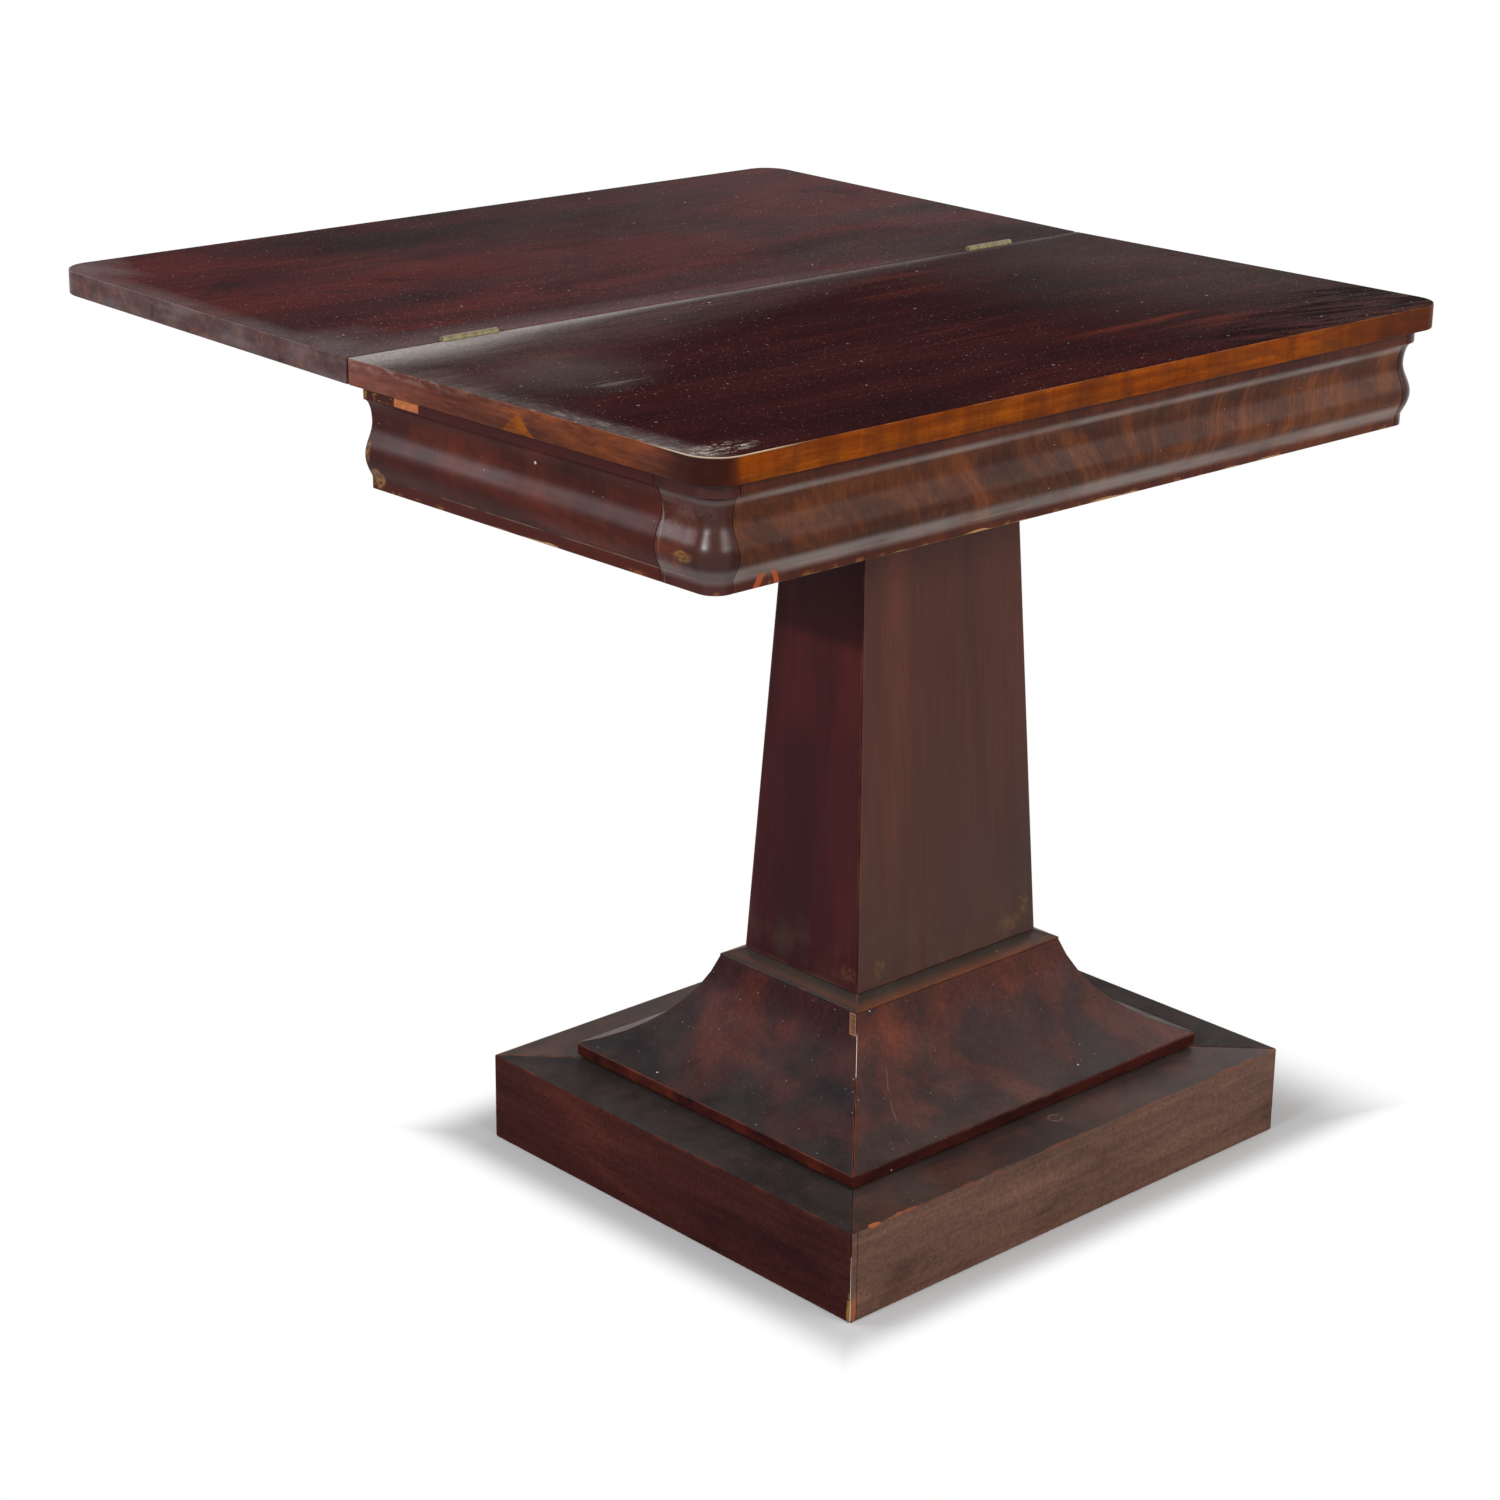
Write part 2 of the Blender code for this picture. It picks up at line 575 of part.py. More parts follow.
def build_card_well():
    front = INNER_FRONT + FIT_GAP
    back = INNER_BACK - FIT_GAP
    left = FIT_GAP - INNER_HALF
    floor = BEARER_TOP + FIT_GAP
    divider = block("well_divider", (-DIVIDER_THICKNESS, front, floor),
                    (0, back, PIVOT_BOARD_TOP), "pine")
    board_end = -DIVIDER_THICKNESS - FIT_GAP
    block("well_bottom", (left, front, floor), (board_end, back, floor + WELL_BOTTOM_THICKNESS),
          "pine")
    cleat_end = -BEARER_HALF - FIT_GAP
    cleat_low = BEARER_TOP - CLEAT_HEIGHT
    block("well_cleat_front", (left, front, cleat_low),
          (cleat_end, front + CLEAT_WIDTH, BEARER_TOP), "pine")
    block("well_cleat_back", (left, back - CLEAT_WIDTH, cleat_low),
          (cleat_end, back, BEARER_TOP), "pine")
    return divider


def build_pivot_board():
    """The board that the top turns on, with the bolt's hole and the stop's curved groove."""
    half = PIVOT_X - FIT_GAP
    board = block("pivot_board", (PIVOT_X - half, INNER_FRONT + FIT_GAP, PIVOT_BOARD_BOTTOM),
                  (PIVOT_X + half, INNER_BACK - FIT_GAP, PIVOT_BOARD_TOP), "pine")
    radius = BOLT_RADIUS + BOLT_CLEARANCE
    high = PIVOT_BOARD_TOP + OVERRUN
    bore = turned("pivot_bore", [
        (0, high), (radius, high), (radius, PIVOT_BOARD_BOTTOM - OVERRUN),
        (0, PIVOT_BOARD_BOTTOM - OVERRUN)], None, (PIVOT_X, PIVOT_Y, 0))
    cut(board, bore)
    reach = DOWEL_RADIUS + GROOVE_CLEARANCE
    low = LEAF_UNDERSIDE - DOWEL_BELOW_LEAF - GROOVE_CLEARANCE
    lead = 2 * math.asin(reach / (2 * STOP_RADIUS))
    start = STOP_START - lead
    toward = (math.cos(start), math.sin(start))
    ring = []
    for distance, height in ((STOP_RADIUS - reach, low), (STOP_RADIUS + reach, low),
                             (STOP_RADIUS + reach, high), (STOP_RADIUS - reach, high)):
        ring.append((toward[0] * distance, toward[1] * distance, height))
    sweep = swept_mesh(ring, [("turn", (0, 0, 0), math.pi / 2 + 2 * lead, 2 * CURVE_STEPS)])
    groove = make_piece("stop_groove", sweep, None, (PIVOT_X, PIVOT_Y, 0))
    cut(board, groove)


# Top

def build_swivel(top_axis, leaf):
    at_pivot = (PIVOT_X, PIVOT_Y, LEAF_UNDERSIDE)
    tail = BOLT_END - LEAF_UNDERSIDE
    bolt = turned("swivel_bolt", [
        (0, FLANGE_THICKNESS), (FLANGE_RADIUS, FLANGE_THICKNESS), (FLANGE_RADIUS, 0),
        (BOLT_RADIUS, 0), (BOLT_RADIUS, tail), (0, tail)], "iron", at_pivot)
    grown = FLANGE_RADIUS + FIT_GAP
    deep = FLANGE_THICKNESS + FIT_GAP
    recess = turned("flange_recess", [(0, deep), (grown, deep), (grown, -OVERRUN), (0, -OVERRUN)],
                    None, at_pivot)
    bore = BOLT_RADIUS + FIT_GAP
    washer = turned("swivel_washer", [
        (bore, 0), (WASHER_RADIUS, 0), (WASHER_RADIUS, -WASHER_THICKNESS),
        (bore, -WASHER_THICKNESS), (bore, 0)], "iron", (PIVOT_X, PIVOT_Y, WASHER_TOP))
    half = NUT_WIDTH / 2
    nut = block("swivel_nut", (PIVOT_X - half, PIVOT_Y - half, NUT_TOP - NUT_HEIGHT),
                (PIVOT_X + half, PIVOT_Y + half, NUT_TOP), "iron")
    nut_bore = turned("nut_bore", [
        (0, OVERRUN), (bore, OVERRUN), (bore, -NUT_HEIGHT - OVERRUN), (0, -NUT_HEIGHT - OVERRUN)],
        None, (PIVOT_X, PIVOT_Y, NUT_TOP))
    cut(nut, nut_bore)
    stop_place = (PIVOT_X + STOP_RADIUS * math.cos(STOP_START),
                  PIVOT_Y + STOP_RADIUS * math.sin(STOP_START), LEAF_UNDERSIDE)
    dowel = turned("stop_dowel", [
        (0, DOWEL_IN_LEAF), (DOWEL_RADIUS, DOWEL_IN_LEAF), (DOWEL_RADIUS, -DOWEL_BELOW_LEAF),
        (0, -DOWEL_BELOW_LEAF)], "beech", stop_place, steps=2 * SCREW_STEPS)
    grown = DOWEL_RADIUS + FIT_GAP
    deep = DOWEL_IN_LEAF + FIT_GAP
    socket = turned("dowel_socket", [(0, deep), (grown, deep), (grown, -OVERRUN), (0, -OVERRUN)],
                    None, stop_place, steps=2 * SCREW_STEPS)
    for piece in (bolt, recess, washer, nut, nut_bore, dowel, socket):
        hang_on(piece, top_axis)
    cut(leaf, recess)
    cut(leaf, socket)


def leaf_mesh(near, far, edge_low, sign):
    """A leaf with two rounded corners at its far edge; edge_low is where its joint edge ends below.

    The leaf reaches along sign times Y from near to far, under a flat top at height zero."""
    half = LEAF_WIDTH / 2
    low_y, high_y = sorted((sign * near, sign * far))
    body = block_mesh((-half, low_y, -LEAF_THICKNESS), (half, high_y, 0))
    for vert in body.verts:
        if vert.co.z < 0 and vert.co.y == (low_y if sign > 0 else high_y):
            vert.co.y = sign * edge_low
    uprights = []
    for edge in body.edges:
        first, second = edge.verts
        upright = abs(first.co.z - second.co.z) > LEAF_THICKNESS / 2
        if upright and abs(first.co.y) > far / 2:
            uprights.append(edge)
    bmesh.ops.bevel(body, geom=uprights, offset=LEAF_CORNER_RADIUS, offset_type="OFFSET",
                    segments=CORNER_STEPS, profile=0.5, affect="EDGES")
    return body


def ease_arrises(leaf):
    easing = leaf.modifiers.new("eased arrises", "BEVEL")
    easing.width = LEAF_ARRIS
    easing.segments = 2
    easing.limit_method = "ANGLE"
    easing.angle_limit = math.radians(40)


def build_hinge(name, centre_x, leaf, sign, axis, pins):
    """One plate with its knuckles, its two screws, and the seats that they need in a leaf.

    It is made in the flap's or the top's own frame, whose X axis is the pin; sign is the side."""
    half = HINGE_LENGTH / 2
    face = JOINT_GAP / 2
    back = face + PLATE_THICKNESS
    plate_top = -(KNUCKLE_RADIUS + KNUCKLE_GAP)
    plate_low = PLATE_MARGIN - LEAF_THICKNESS - PIN_RISE
    pitch = (HINGE_LENGTH + KNUCKLE_GAP) / KNUCKLE_COUNT
    first = 0 if sign < 0 else 1
    low_y, high_y = sorted((sign * face, sign * back))
    plate = make_piece(name, block_mesh((-half, low_y, plate_low), (half, high_y, plate_top)),
                       "brass")
    joined = []
    for index in range(first, KNUCKLE_COUNT, 2):
        start = -half + index * pitch
        stop = start + pitch - KNUCKLE_GAP
        tab = block_mesh((start, low_y, plate_top - KNUCKLE_GAP), (stop, high_y, 0))
        joined.append(make_piece(f"{name}_tab_{index}", tab, None))
        middle = (start + stop) / 2
        reach = (stop - start) / 2
        barrel = turned(f"{name}_barrel_{index}", [
            (0, reach), (KNUCKLE_RADIUS, reach), (KNUCKLE_RADIUS, -reach), (0, -reach)],
            None, (middle, 0, 0), (0, math.pi / 2, 0), 2 * SCREW_STEPS)
        joined.append(barrel)
    for extra in joined:
        step = plate.modifiers.new("join " + extra.name, "BOOLEAN")
        step.operation = "UNION"
        step.solver = "EXACT"
        step.object = extra
    long = half + OVERRUN
    grown = PIN_RADIUS + FIT_GAP
    pin_hole = turned(f"{name}_pin_hole", [(0, long), (grown, long), (grown, -long), (0, -long)],
                      None, (0, 0, 0), (0, math.pi / 2, 0), SCREW_STEPS)
    cut(plate, pin_hole)
    grow = FIT_GAP
    seat_low, seat_high = sorted((sign * (back + grow), -sign * OVERRUN))
    seat = make_piece(f"{name}_seat", block_mesh(
        (-half - grow, seat_low, plate_low - grow), (half + grow, seat_high, OVERRUN)), None)
    slot_low, slot_high = sorted((sign * (KNUCKLE_RADIUS + grow), -sign * OVERRUN))
    slot = make_piece(f"{name}_slot", block_mesh(
        (-half - grow, slot_low, -KNUCKLE_RADIUS - grow), (half + grow, slot_high, OVERRUN)), None)
    sizes = (HINGE_SCREW_LENGTH, HINGE_SCREW_RADIUS, HINGE_SCREW_HEAD_RADIUS,
             HINGE_SCREW_HEAD_HEIGHT)
    parts = [plate, pin_hole, seat, slot] + joined
    turn = (sign * math.pi / 2, 0, 0)
    for count, x_sign in enumerate((-1, 1), 1):
        place = (x_sign * HINGE_SCREW_SPACING / 2, sign * face, (plate_top + plate_low) / 2)
        screw, hole = wood_screw(f"{name}_screw_{count}", sizes, place, turn)
        cut(plate, hole)
        cut(leaf, hole)
        parts += [screw, hole]
    if pins:
        parts.append(turned(pins, [(0, half), (PIN_RADIUS, half), (PIN_RADIUS, -half), (0, -half)],
                            "brass", (0, 0, 0), (0, math.pi / 2, 0), SCREW_STEPS))
    cut(leaf, seat)
    cut(leaf, slot)
    for piece in parts:
        piece.location.x += centre_x
        piece.parent = axis


def build_top():
    top_axis = make_axis("top_swivel_axis", (PIVOT_X, PIVOT_Y, LEAF_UNDERSIDE))
    pin_line = make_axis("hinge_line", (0, HINGE_Y, HINGE_Z), parent=top_axis)
    flap_axis = make_axis("flap_fold_axis", (0, HINGE_Y, HINGE_Z), (FLAP_RISE, 0, 0), top_axis)
    edge = JOINT_GAP / 2
    near_low = edge
    fixed_leaf = make_piece("fixed_leaf", leaf_mesh(edge, LEAF_DEPTH, near_low, -1),
                            "mahogany_top", (0, 0, -PIN_RISE))
    drop = LEAF_THICKNESS + PIN_RISE
    flap_low = (STOP_GAP - edge - drop * math.sin(FLAP_RISE)) / math.cos(FLAP_RISE)
    flap_leaf = make_piece("flap_leaf", leaf_mesh(edge, LEAF_DEPTH, flap_low, 1),
                           "mahogany_top", (0, 0, -PIN_RISE))
    fixed_leaf.parent = pin_line
    flap_leaf.parent = flap_axis
    ease_arrises(fixed_leaf)
    ease_arrises(flap_leaf)
    place = LEAF_WIDTH / 2 - HINGE_FROM_END
    for side, x_sign in (("left", -1), ("right", 1)):
        build_hinge(f"hinge_{side}_fixed_plate", x_sign * place, fixed_leaf, -1, pin_line,
                    f"hinge_{side}_pin")
        build_hinge(f"hinge_{side}_flap_plate", x_sign * place, flap_leaf, 1, flap_axis, None)
    build_swivel(top_axis, fixed_leaf)


build_plinth()
build_cove_block()
build_frame_rails()
build_bearer(build_column())
build_card_well()
build_pivot_board()
build_top()
bpy.context.view_layer.update()
for made in TABLE.objects:
    if made.type == "MESH":
        made.data.shade_smooth()
        made.data.set_sharp_from_angle(angle=math.radians(30))
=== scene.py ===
import json
import math

import bmesh
import bpy
from mathutils import Euler, Matrix, Vector, noise


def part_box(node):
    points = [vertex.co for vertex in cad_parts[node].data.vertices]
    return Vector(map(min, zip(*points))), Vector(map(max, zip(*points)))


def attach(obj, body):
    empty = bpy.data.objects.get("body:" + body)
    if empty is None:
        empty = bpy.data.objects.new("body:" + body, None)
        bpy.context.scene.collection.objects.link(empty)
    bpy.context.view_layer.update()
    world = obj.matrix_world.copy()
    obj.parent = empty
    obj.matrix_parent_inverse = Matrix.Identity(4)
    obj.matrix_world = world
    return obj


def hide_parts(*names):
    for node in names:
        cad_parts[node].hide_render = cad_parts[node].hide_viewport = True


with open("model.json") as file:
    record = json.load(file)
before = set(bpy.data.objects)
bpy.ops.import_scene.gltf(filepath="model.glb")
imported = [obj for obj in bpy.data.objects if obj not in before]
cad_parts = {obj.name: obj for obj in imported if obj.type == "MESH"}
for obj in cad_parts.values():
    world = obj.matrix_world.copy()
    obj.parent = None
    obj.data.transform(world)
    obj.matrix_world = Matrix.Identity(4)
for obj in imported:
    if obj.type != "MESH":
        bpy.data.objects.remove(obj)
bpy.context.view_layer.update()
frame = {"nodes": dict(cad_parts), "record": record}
NODES = frame["nodes"]
BODY_OF = {node: body for body, nodes in frame["record"]["behaviour"]["bodies"].items()
           for node in nodes}
SLOT_OF = {part["node"]: part["material_slot"] for part in frame["record"]["subparts"]}

# Places of the table at rest
TOP_Z = 0.743  # upper face of the fixed leaf
JOINT_Y = 0.1972  # line where the two leaves meet
LEAF_X = 0.430  # half the leaves' width
FRAME_X, FRAME_Y, FRAME_Z = 0.4185, -0.2213, 0.6345  # end, front and underside of the frame
PLINTH_X, PLINTH_Y, PLINTH_Z = 0.2691, 0.2283, 0.080  # half width, half depth and top
BOARD_X, BOARD_Y = 0.2215, 0.1807  # half sizes of the base board and 5 mm around it
CAP_X, CAP_Y = 0.1270, 0.0862  # half sizes of the cap board
FLAP_RISE = math.radians(1.1)  # slope of the open flap from the joint

# Edges
ARRIS = "arris"  # attribute that is 1 on eased edges
CREASE = math.radians(28)  # faces at a greater angle have an edge between them
SHARP = math.radians(42)  # edges at a greater angle are shaded as sharp
COPLANAR = math.radians(0.6)  # faces of the CAD mesh at a smaller angle are joined
WELD = 0.000002  # vertices nearer than this are joined
STRIP = 0.65  # a face is a bevel's strip if its area is under this share of bevel times rim

# Lights
WHITE = (1, 1, 1, 1)
FLOOR_GREY = (0.30, 0.30, 0.30, 1)  # for diffuse light
FLOOR_WHITE = (0.525, 0.525, 0.525, 1)  # for rays that see the floor
FLOOR_FADE = (0.25, 1.05)  # shares of the shadow's reach where it starts and ends in plain white
# Heights from straight down, 0, to straight up, 1, with the grey light that comes from there
WORLD_LEVELS = ((0.0, 0.20), (0.50, 0.02), (0.62, 0.02), (0.72, 0.06), (0.86, 0.30), (1.0, 0.50))
MIDDLE = (0.0, 0.0, 0.60)
LAMPS = (
    ("ceiling_light", (0.2, 0.4, 3.4), (0, 0.1, 0.3), (3.2, 3.2), 14, (1, 1, 1)),
    ("left_light", (-3.0, -0.30, 1.82), MIDDLE, (0.90, 0.08), 62, (0.95, 0.97, 1.0)),
    ("front_light", (0.1, -3.3, 2.1), MIDDLE, (2.4, 1.0), 92, (1.0, 0.98, 0.95)),
    ("right_front_light", (2.4, -2.5, 1.5), MIDDLE, (2.2, 1.2), 24, (1, 1, 1)),
    ("left_back_light", (-2.3, 2.5, 1.65), MIDDLE, (1.1, 0.42), 44, (0.94, 0.95, 1.0)),
    ("back_light", (-0.8, 3.2, 1.7), MIDDLE, (2.0, 0.9), 36, (1, 1, 1)),
    ("right_light", (3.3, 0.6, 1.5), MIDDLE, (1.6, 0.8), 28, (1, 1, 1)),
)

# Camera fitted to the photograph
CAMERA_PLACE = (-1.9232, -1.8760, 1.3112)
CAMERA_TURN, CAMERA_TILT, CAMERA_ROLL = (math.radians(angle) for angle in (-43.0, -19.40, 0.68))
CAMERA_LENS = 78.42

# Colours of three numbers, 0 to 255, are as the eye reads them; those of four are linear light
PORE = (0.006, 0.003, 0.003, 1)
CRACK = (0.006, 0.004, 0.004, 1)
DUST = (176, 168, 158)
PALE_DUST = (214, 206, 192)
OCHRE = (150, 112, 52)

APRON_GLOSS = {"front": 0.082, "side": 0.060}
APRON_LEAST_ROUGH = {"front": 0.25, "side": 0.34, "corner": 0.23}
# amounts of the pale lines under the top fillet and above the foot fillet: painted reflection and
# bloom
APRON_SHEEN_AND_BLOOM = {"front": 0.30, "side": 0.0, "corner": 0.16}
BASE_GLOSS = {"cap": 0.080, "board": 0.085, "front": 0.085, "side": 0.018}
BASE_DUST = {"cap": 0.08, "board": 0.05, "front": 0.07, "side": 0.07}


# Node trees

def is_socket(value):
    return isinstance(value, bpy.types.NodeSocket)


def light(colour):
    """Linear light from a colour as the eye reads it; sockets and linear colours stay."""
    if is_socket(colour) or len(colour) == 4:
        return colour
    shares = [value / 255 for value in colour]
    return (*[share / 12.92 if share <= 0.04045 else ((share + 0.055) / 1.055) ** 2.4
              for share in shares], 1.0)


def along(grain, lengthways, across):
    """Scales for a texture that is drawn out along the grain's axis."""
    return tuple(lengthways if axis == grain else across for axis in "XYZ")


class Shader:
    """A node tree. Its methods add nodes and return their output sockets."""

    def __init__(self, owner):
        owner.use_nodes = True
        self.tree = owner.node_tree
        self.tree.nodes.clear()

    def add(self, kind, **settings):
        node = self.tree.nodes.new(kind)
        for key, value in settings.items():
            setattr(node, key, value)
        return node

    def feed(self, socket, value):
        if is_socket(value):
            self.tree.links.new(value, socket)
        else:
            socket.default_value = value

    def made(self, node, *values):
        """Feeds a node's inputs in order and gives its first output."""
        for socket, value in zip(node.inputs, values):
            self.feed(socket, value)
        return node.outputs[0]

    def split(self, vector):
        node = self.add("ShaderNodeSeparateXYZ")
        self.made(node, vector)
        return node.outputs[0], node.outputs[1], node.outputs[2]

    def joined(self, x, y, z):
        return self.made(self.add("ShaderNodeCombineXYZ"), x, y, z)

    def calc(self, operation, *values):
        return self.made(self.add("ShaderNodeMath", operation=operation), *values)

    def vector(self, operation, *values):
        node = self.add("ShaderNodeVectorMath", operation=operation)
        self.made(node, *values)
        return node.outputs["Value" if operation == "LENGTH" else 0]

    def fold(self, operation, values):
        total = values[0]
        for value in values[1:]:
            total = self.calc(operation, total, value)
        return total

    def times(self, *values):
        return self.fold("MULTIPLY", values)

    def most(self, *values):
        return self.fold("MAXIMUM", values)

    def plus(self, *values):
        return self.fold("ADD", values)

    def minus(self, *values):
        return self.fold("SUBTRACT", values)

    def size(self, value):
        return self.calc("ABSOLUTE", value)

    def fit(self, value, low, high, to_low=0.0, to_high=1.0, smooth=True):
        """The value's place between two limits, held there, as to_low to to_high."""
        node = self.add("ShaderNodeMapRange", clamp=True,
                        interpolation_type="SMOOTHSTEP" if smooth else "LINEAR")
        return self.made(node, value, low, high, to_low, to_high)

    def near(self, value, at, width, soft):
        """1 where the value is within the width of a place, and 0 beyond the soft border."""
        return self.fit(self.size(self.minus(value, at)), width, width + soft, 1.0, 0.0)

    def mix(self, factor, first, second, blend="MIX"):
        node = self.add("ShaderNodeMix", data_type="RGBA", blend_type=blend)
        self.feed(node.inputs[0], factor)
        self.feed(node.inputs[6], light(first))
        self.feed(node.inputs[7], light(second))
        return node.outputs[2]

    def ramp(self, value, stops, smooth=True):
        node = self.add("ShaderNodeValToRGB")
        band = node.color_ramp
        band.interpolation = "EASE" if smooth else "LINEAR"
        while len(band.elements) < len(stops):
            band.elements.new(0.5)
        for element, (position, colour) in zip(band.elements, stops):
            element.position = position
            element.color = light(colour)
        return self.made(node, value)

    def seen(self):
        """1 for camera, glossy and transmission rays, which see a white studio."""
        path = self.add("ShaderNodeLightPath").outputs
        return self.most(path["Is Camera Ray"], path["Is Glossy Ray"],
                         path["Is Transmission Ray"])


class Finish(Shader):
    """A material in the object's own coordinates, with the colour laid so far."""

    def __init__(self, name):
        self.material = bpy.data.materials.new(name)
        super().__init__(self.material)
        coordinates = self.add("ShaderNodeTexCoord").outputs
        self.place = coordinates["Object"]
        self.x, self.y, self.z = self.split(self.place)
        self.nx, self.ny, self.nz = self.split(coordinates["Normal"])
        self.colour = None

    def scaled(self, scale, shift=(0, 0, 0), source=None):
        """Coordinates times a scale, which is one number or one for each axis."""
        node = self.add("ShaderNodeMapping", vector_type="POINT")
        self.feed(node.inputs["Vector"], source or self.place)
        node.inputs["Scale"].default_value = scale if isinstance(scale, tuple) else (scale,) * 3
        node.inputs["Location"].default_value = shift
        return node.outputs[0]

    def noise(self, scale, detail=4, rough=0.6, bend=0.0, shift=(0, 0, 0), source=None):
        """Clouds around 0.5, in the object's coordinates unless there is another source."""
        node = self.add("ShaderNodeTexNoise")
        self.feed(node.inputs["Vector"], self.scaled(scale, shift, source))
        for key, value in (("Scale", 1.0), ("Detail", detail), ("Roughness", rough),
                           ("Distortion", bend)):
            node.inputs[key].default_value = value
        return node.outputs[0]

    def patches(self, scale, limits, *shape):
        """Noise between two limits, as 0 to 1 or as the last two of four limits."""
        return self.fit(self.noise(scale, *shape), *limits)

    def wave(self, scale, bend, detail, detail_scale, direction):
        node = self.add("ShaderNodeTexWave", bands_direction=direction)
        self.feed(node.inputs["Vector"], self.scaled(scale))
        for key, value in (("Scale", 1.0), ("Distortion", bend), ("Detail", detail),
                           ("Detail Scale", detail_scale), ("Detail Roughness", 0.55)):
            node.inputs[key].default_value = value
        return node.outputs[1]

    def specks(self, cell, size, share, shift=(0, 0, 0), flat=False):
        """Small round spots: a share of the cells has one, and sizes differ."""
        node = self.add("ShaderNodeTexVoronoi", voronoi_dimensions="2D" if flat else "3D")
        self.feed(node.inputs["Vector"], self.scaled(1 / cell, shift))
        node.inputs["Scale"].default_value = 1.0
        red, green, blue = self.split(node.outputs["Color"])
        there = self.calc("GREATER_THAN", red, 1 - share)
        radius = self.times(there, self.fit(blue, 0.0, 1.0, 0.5, 1.0), size / cell)
        inside = self.minus(radius, node.outputs["Distance"])
        return self.times(self.fit(inside, 0.0, 0.25 * size / cell), self.fit(green, 0, 1, 0.3, 1))

    def blob(self, centre, reach, ragged, soft, grain):
        """A ragged patch: 1 at its centre and 0 outside its reach."""
        offset = self.vector("SUBTRACT", self.place, centre)
        share = self.vector("MULTIPLY", offset, tuple(1 / size for size in reach))
        rough = self.noise(grain, 3, shift=centre)
        edge = self.calc("MULTIPLY_ADD", self.minus(rough, 0.5), ragged * 2,
                         self.vector("LENGTH", share))
        return self.fit(edge, 1 - soft, 1.0, 1.0, 0.0)

    def arris(self):
        return self.add("ShaderNodeAttribute", attribute_name=ARRIS).outputs["Fac"]

    def lay(self, colour, *amounts):
        """Lays a colour over what is there; the amounts are multiplied."""
        self.colour = self.mix(self.times(*amounts), self.colour, colour)

    def shade(self, value, darkest, lightest, low=0.3, high=0.7):
        """Multiplies the colour by a grey that follows the value."""
        grey = self.fit(value, low, high, darkest, lightest)
        self.colour = self.mix(1.0, self.colour, self.joined(grey, grey, grey), "MULTIPLY")

    def veneer(self, stops, grain, broad, shift, streaks, pores):
        """Drifts of tone, streaks along the grain and dark pores; gives streaks and pores."""
        self.colour = self.ramp(self.noise(along(grain, *broad), 4, 0.55, 0.6, shift), stops)
        fine = self.noise(along(grain, 6, 240), 3, 0.62, 0.1, shift)
        self.shade(fine, 1 - streaks, 1 + streaks * 0.55, 0.32, 0.70)
        pore = self.patches(along(grain, 70, 1900), (0.60, 0.72), 1, 0.5, 0, shift)
        self.lay(PORE, pore, pores)
        return fine, pore

    def close(self, roughness, height, depth, specular, metallic=0.0):
        """The shader with the laid colour and a bump of the given depth."""
        bump, shader = self.add("ShaderNodeBump"), self.add("ShaderNodeBsdfPrincipled")
        for node, key, value in (
                (bump, "Strength", 1.0), (bump, "Distance", depth), (bump, "Height", height),
                (shader, "Base Color", self.colour), (shader, "Roughness", roughness),
                (shader, "Specular IOR Level", specular), (shader, "Metallic", metallic),
                (shader, "Normal", bump.outputs[0])):
            self.feed(node.inputs[key], value)
        return self.output(shader.outputs[0])

    def output(self, shader):
        self.feed(self.add("ShaderNodeOutputMaterial").inputs[0], shader)
        return self.material


# The leaves

def top_finish(name, flap):
    """The leaves' upper faces: dark veneer with a pale film of bloom and painted sheen beside the
    joint, and white specks.
    """
    f = Finish(name)
    if flap:
        stops = [(0.30, (34, 13, 15)), (0.46, (55, 21, 23)), (0.60, (74, 27, 27)),
                 (0.78, (89, 36, 29))]
    else:
        stops = [(0.30, (34, 13, 15)), (0.46, (43, 16, 18)), (0.60, (52, 20, 20)),
                 (0.78, (69, 28, 23))]
    shift = (3.1, 1.7, 0) if flap else (0, 0, 0)
    fine = f.veneer(stops, "X", (2.6, 9.0), shift, 0.24, 0.20)[0]
    f.lay((104, 44, 28), f.patches((3.4, 34, 5), (0.52, 0.74), 4, 0.6, 0.5, (9, 1, 4)),
          f.patches((2.2, 5, 2), (0.42, 0.62), 2, 0.5, 0, (1, 8, 2)), 0.60)
    dark_scale, darkest = ((8, 15, 5), 0.60) if flap else ((5, 9, 5), 0.25)
    f.lay((26, 13, 16), f.patches(dark_scale, (0.53, 0.68, 0.0, darkest), 5, 0.65, 0.9, (7, 3, 9)))
    cloud = f.noise((7, 11, 7), 5, 0.62, 0.5, (5, 2, 0))
    up = f.fit(f.nz, 0.6, 0.95)
    # the pale film is partly bloom and partly painted sheen
    bloom_and_sheen = f.times(flap_bloom_and_sheen(f) if flap else leaf_bloom_and_sheen(f), f.fit(cloud, 0.30, 0.62, 0.62, 1.0), up)
    f.lay((124, 118, 116) if flap else (178, 172, 166), bloom_and_sheen)
    spots = f.most(f.times(f.specks(0.0050, 0.0006, 0.4, flat=True), 0.55),
                   f.times(f.specks(0.014, 0.0009, 0.45, (4, 4, 4), True), 0.7),
                   f.specks(0.060, 0.0015, 0.5, (8, 2, 4), True))
    pale = f.times(spots, f.patches(6, (0.35, 0.7, 0.35, 1.0), 3), up, 0.68)
    if not flap:
        pale = f.most(pale, *corner_scuffs(f, up))
        right_front_strokes(f, up)
    f.shade(f.noise((420, 420, 60), 2, 0.7), 0.80, 1.20)
    f.lay(PALE_DUST, pale)
    rough = f.plus(f.fit(cloud, 0.2, 0.8, 0.39, 0.47), f.times(bloom_and_sheen, 0.3))
    height = f.plus(f.times(f.noise((14, 22, 14), 3, 0.5), 2.5), f.times(fine, 0.25))
    return f.close(rough, height, 0.00012, 0.0006)


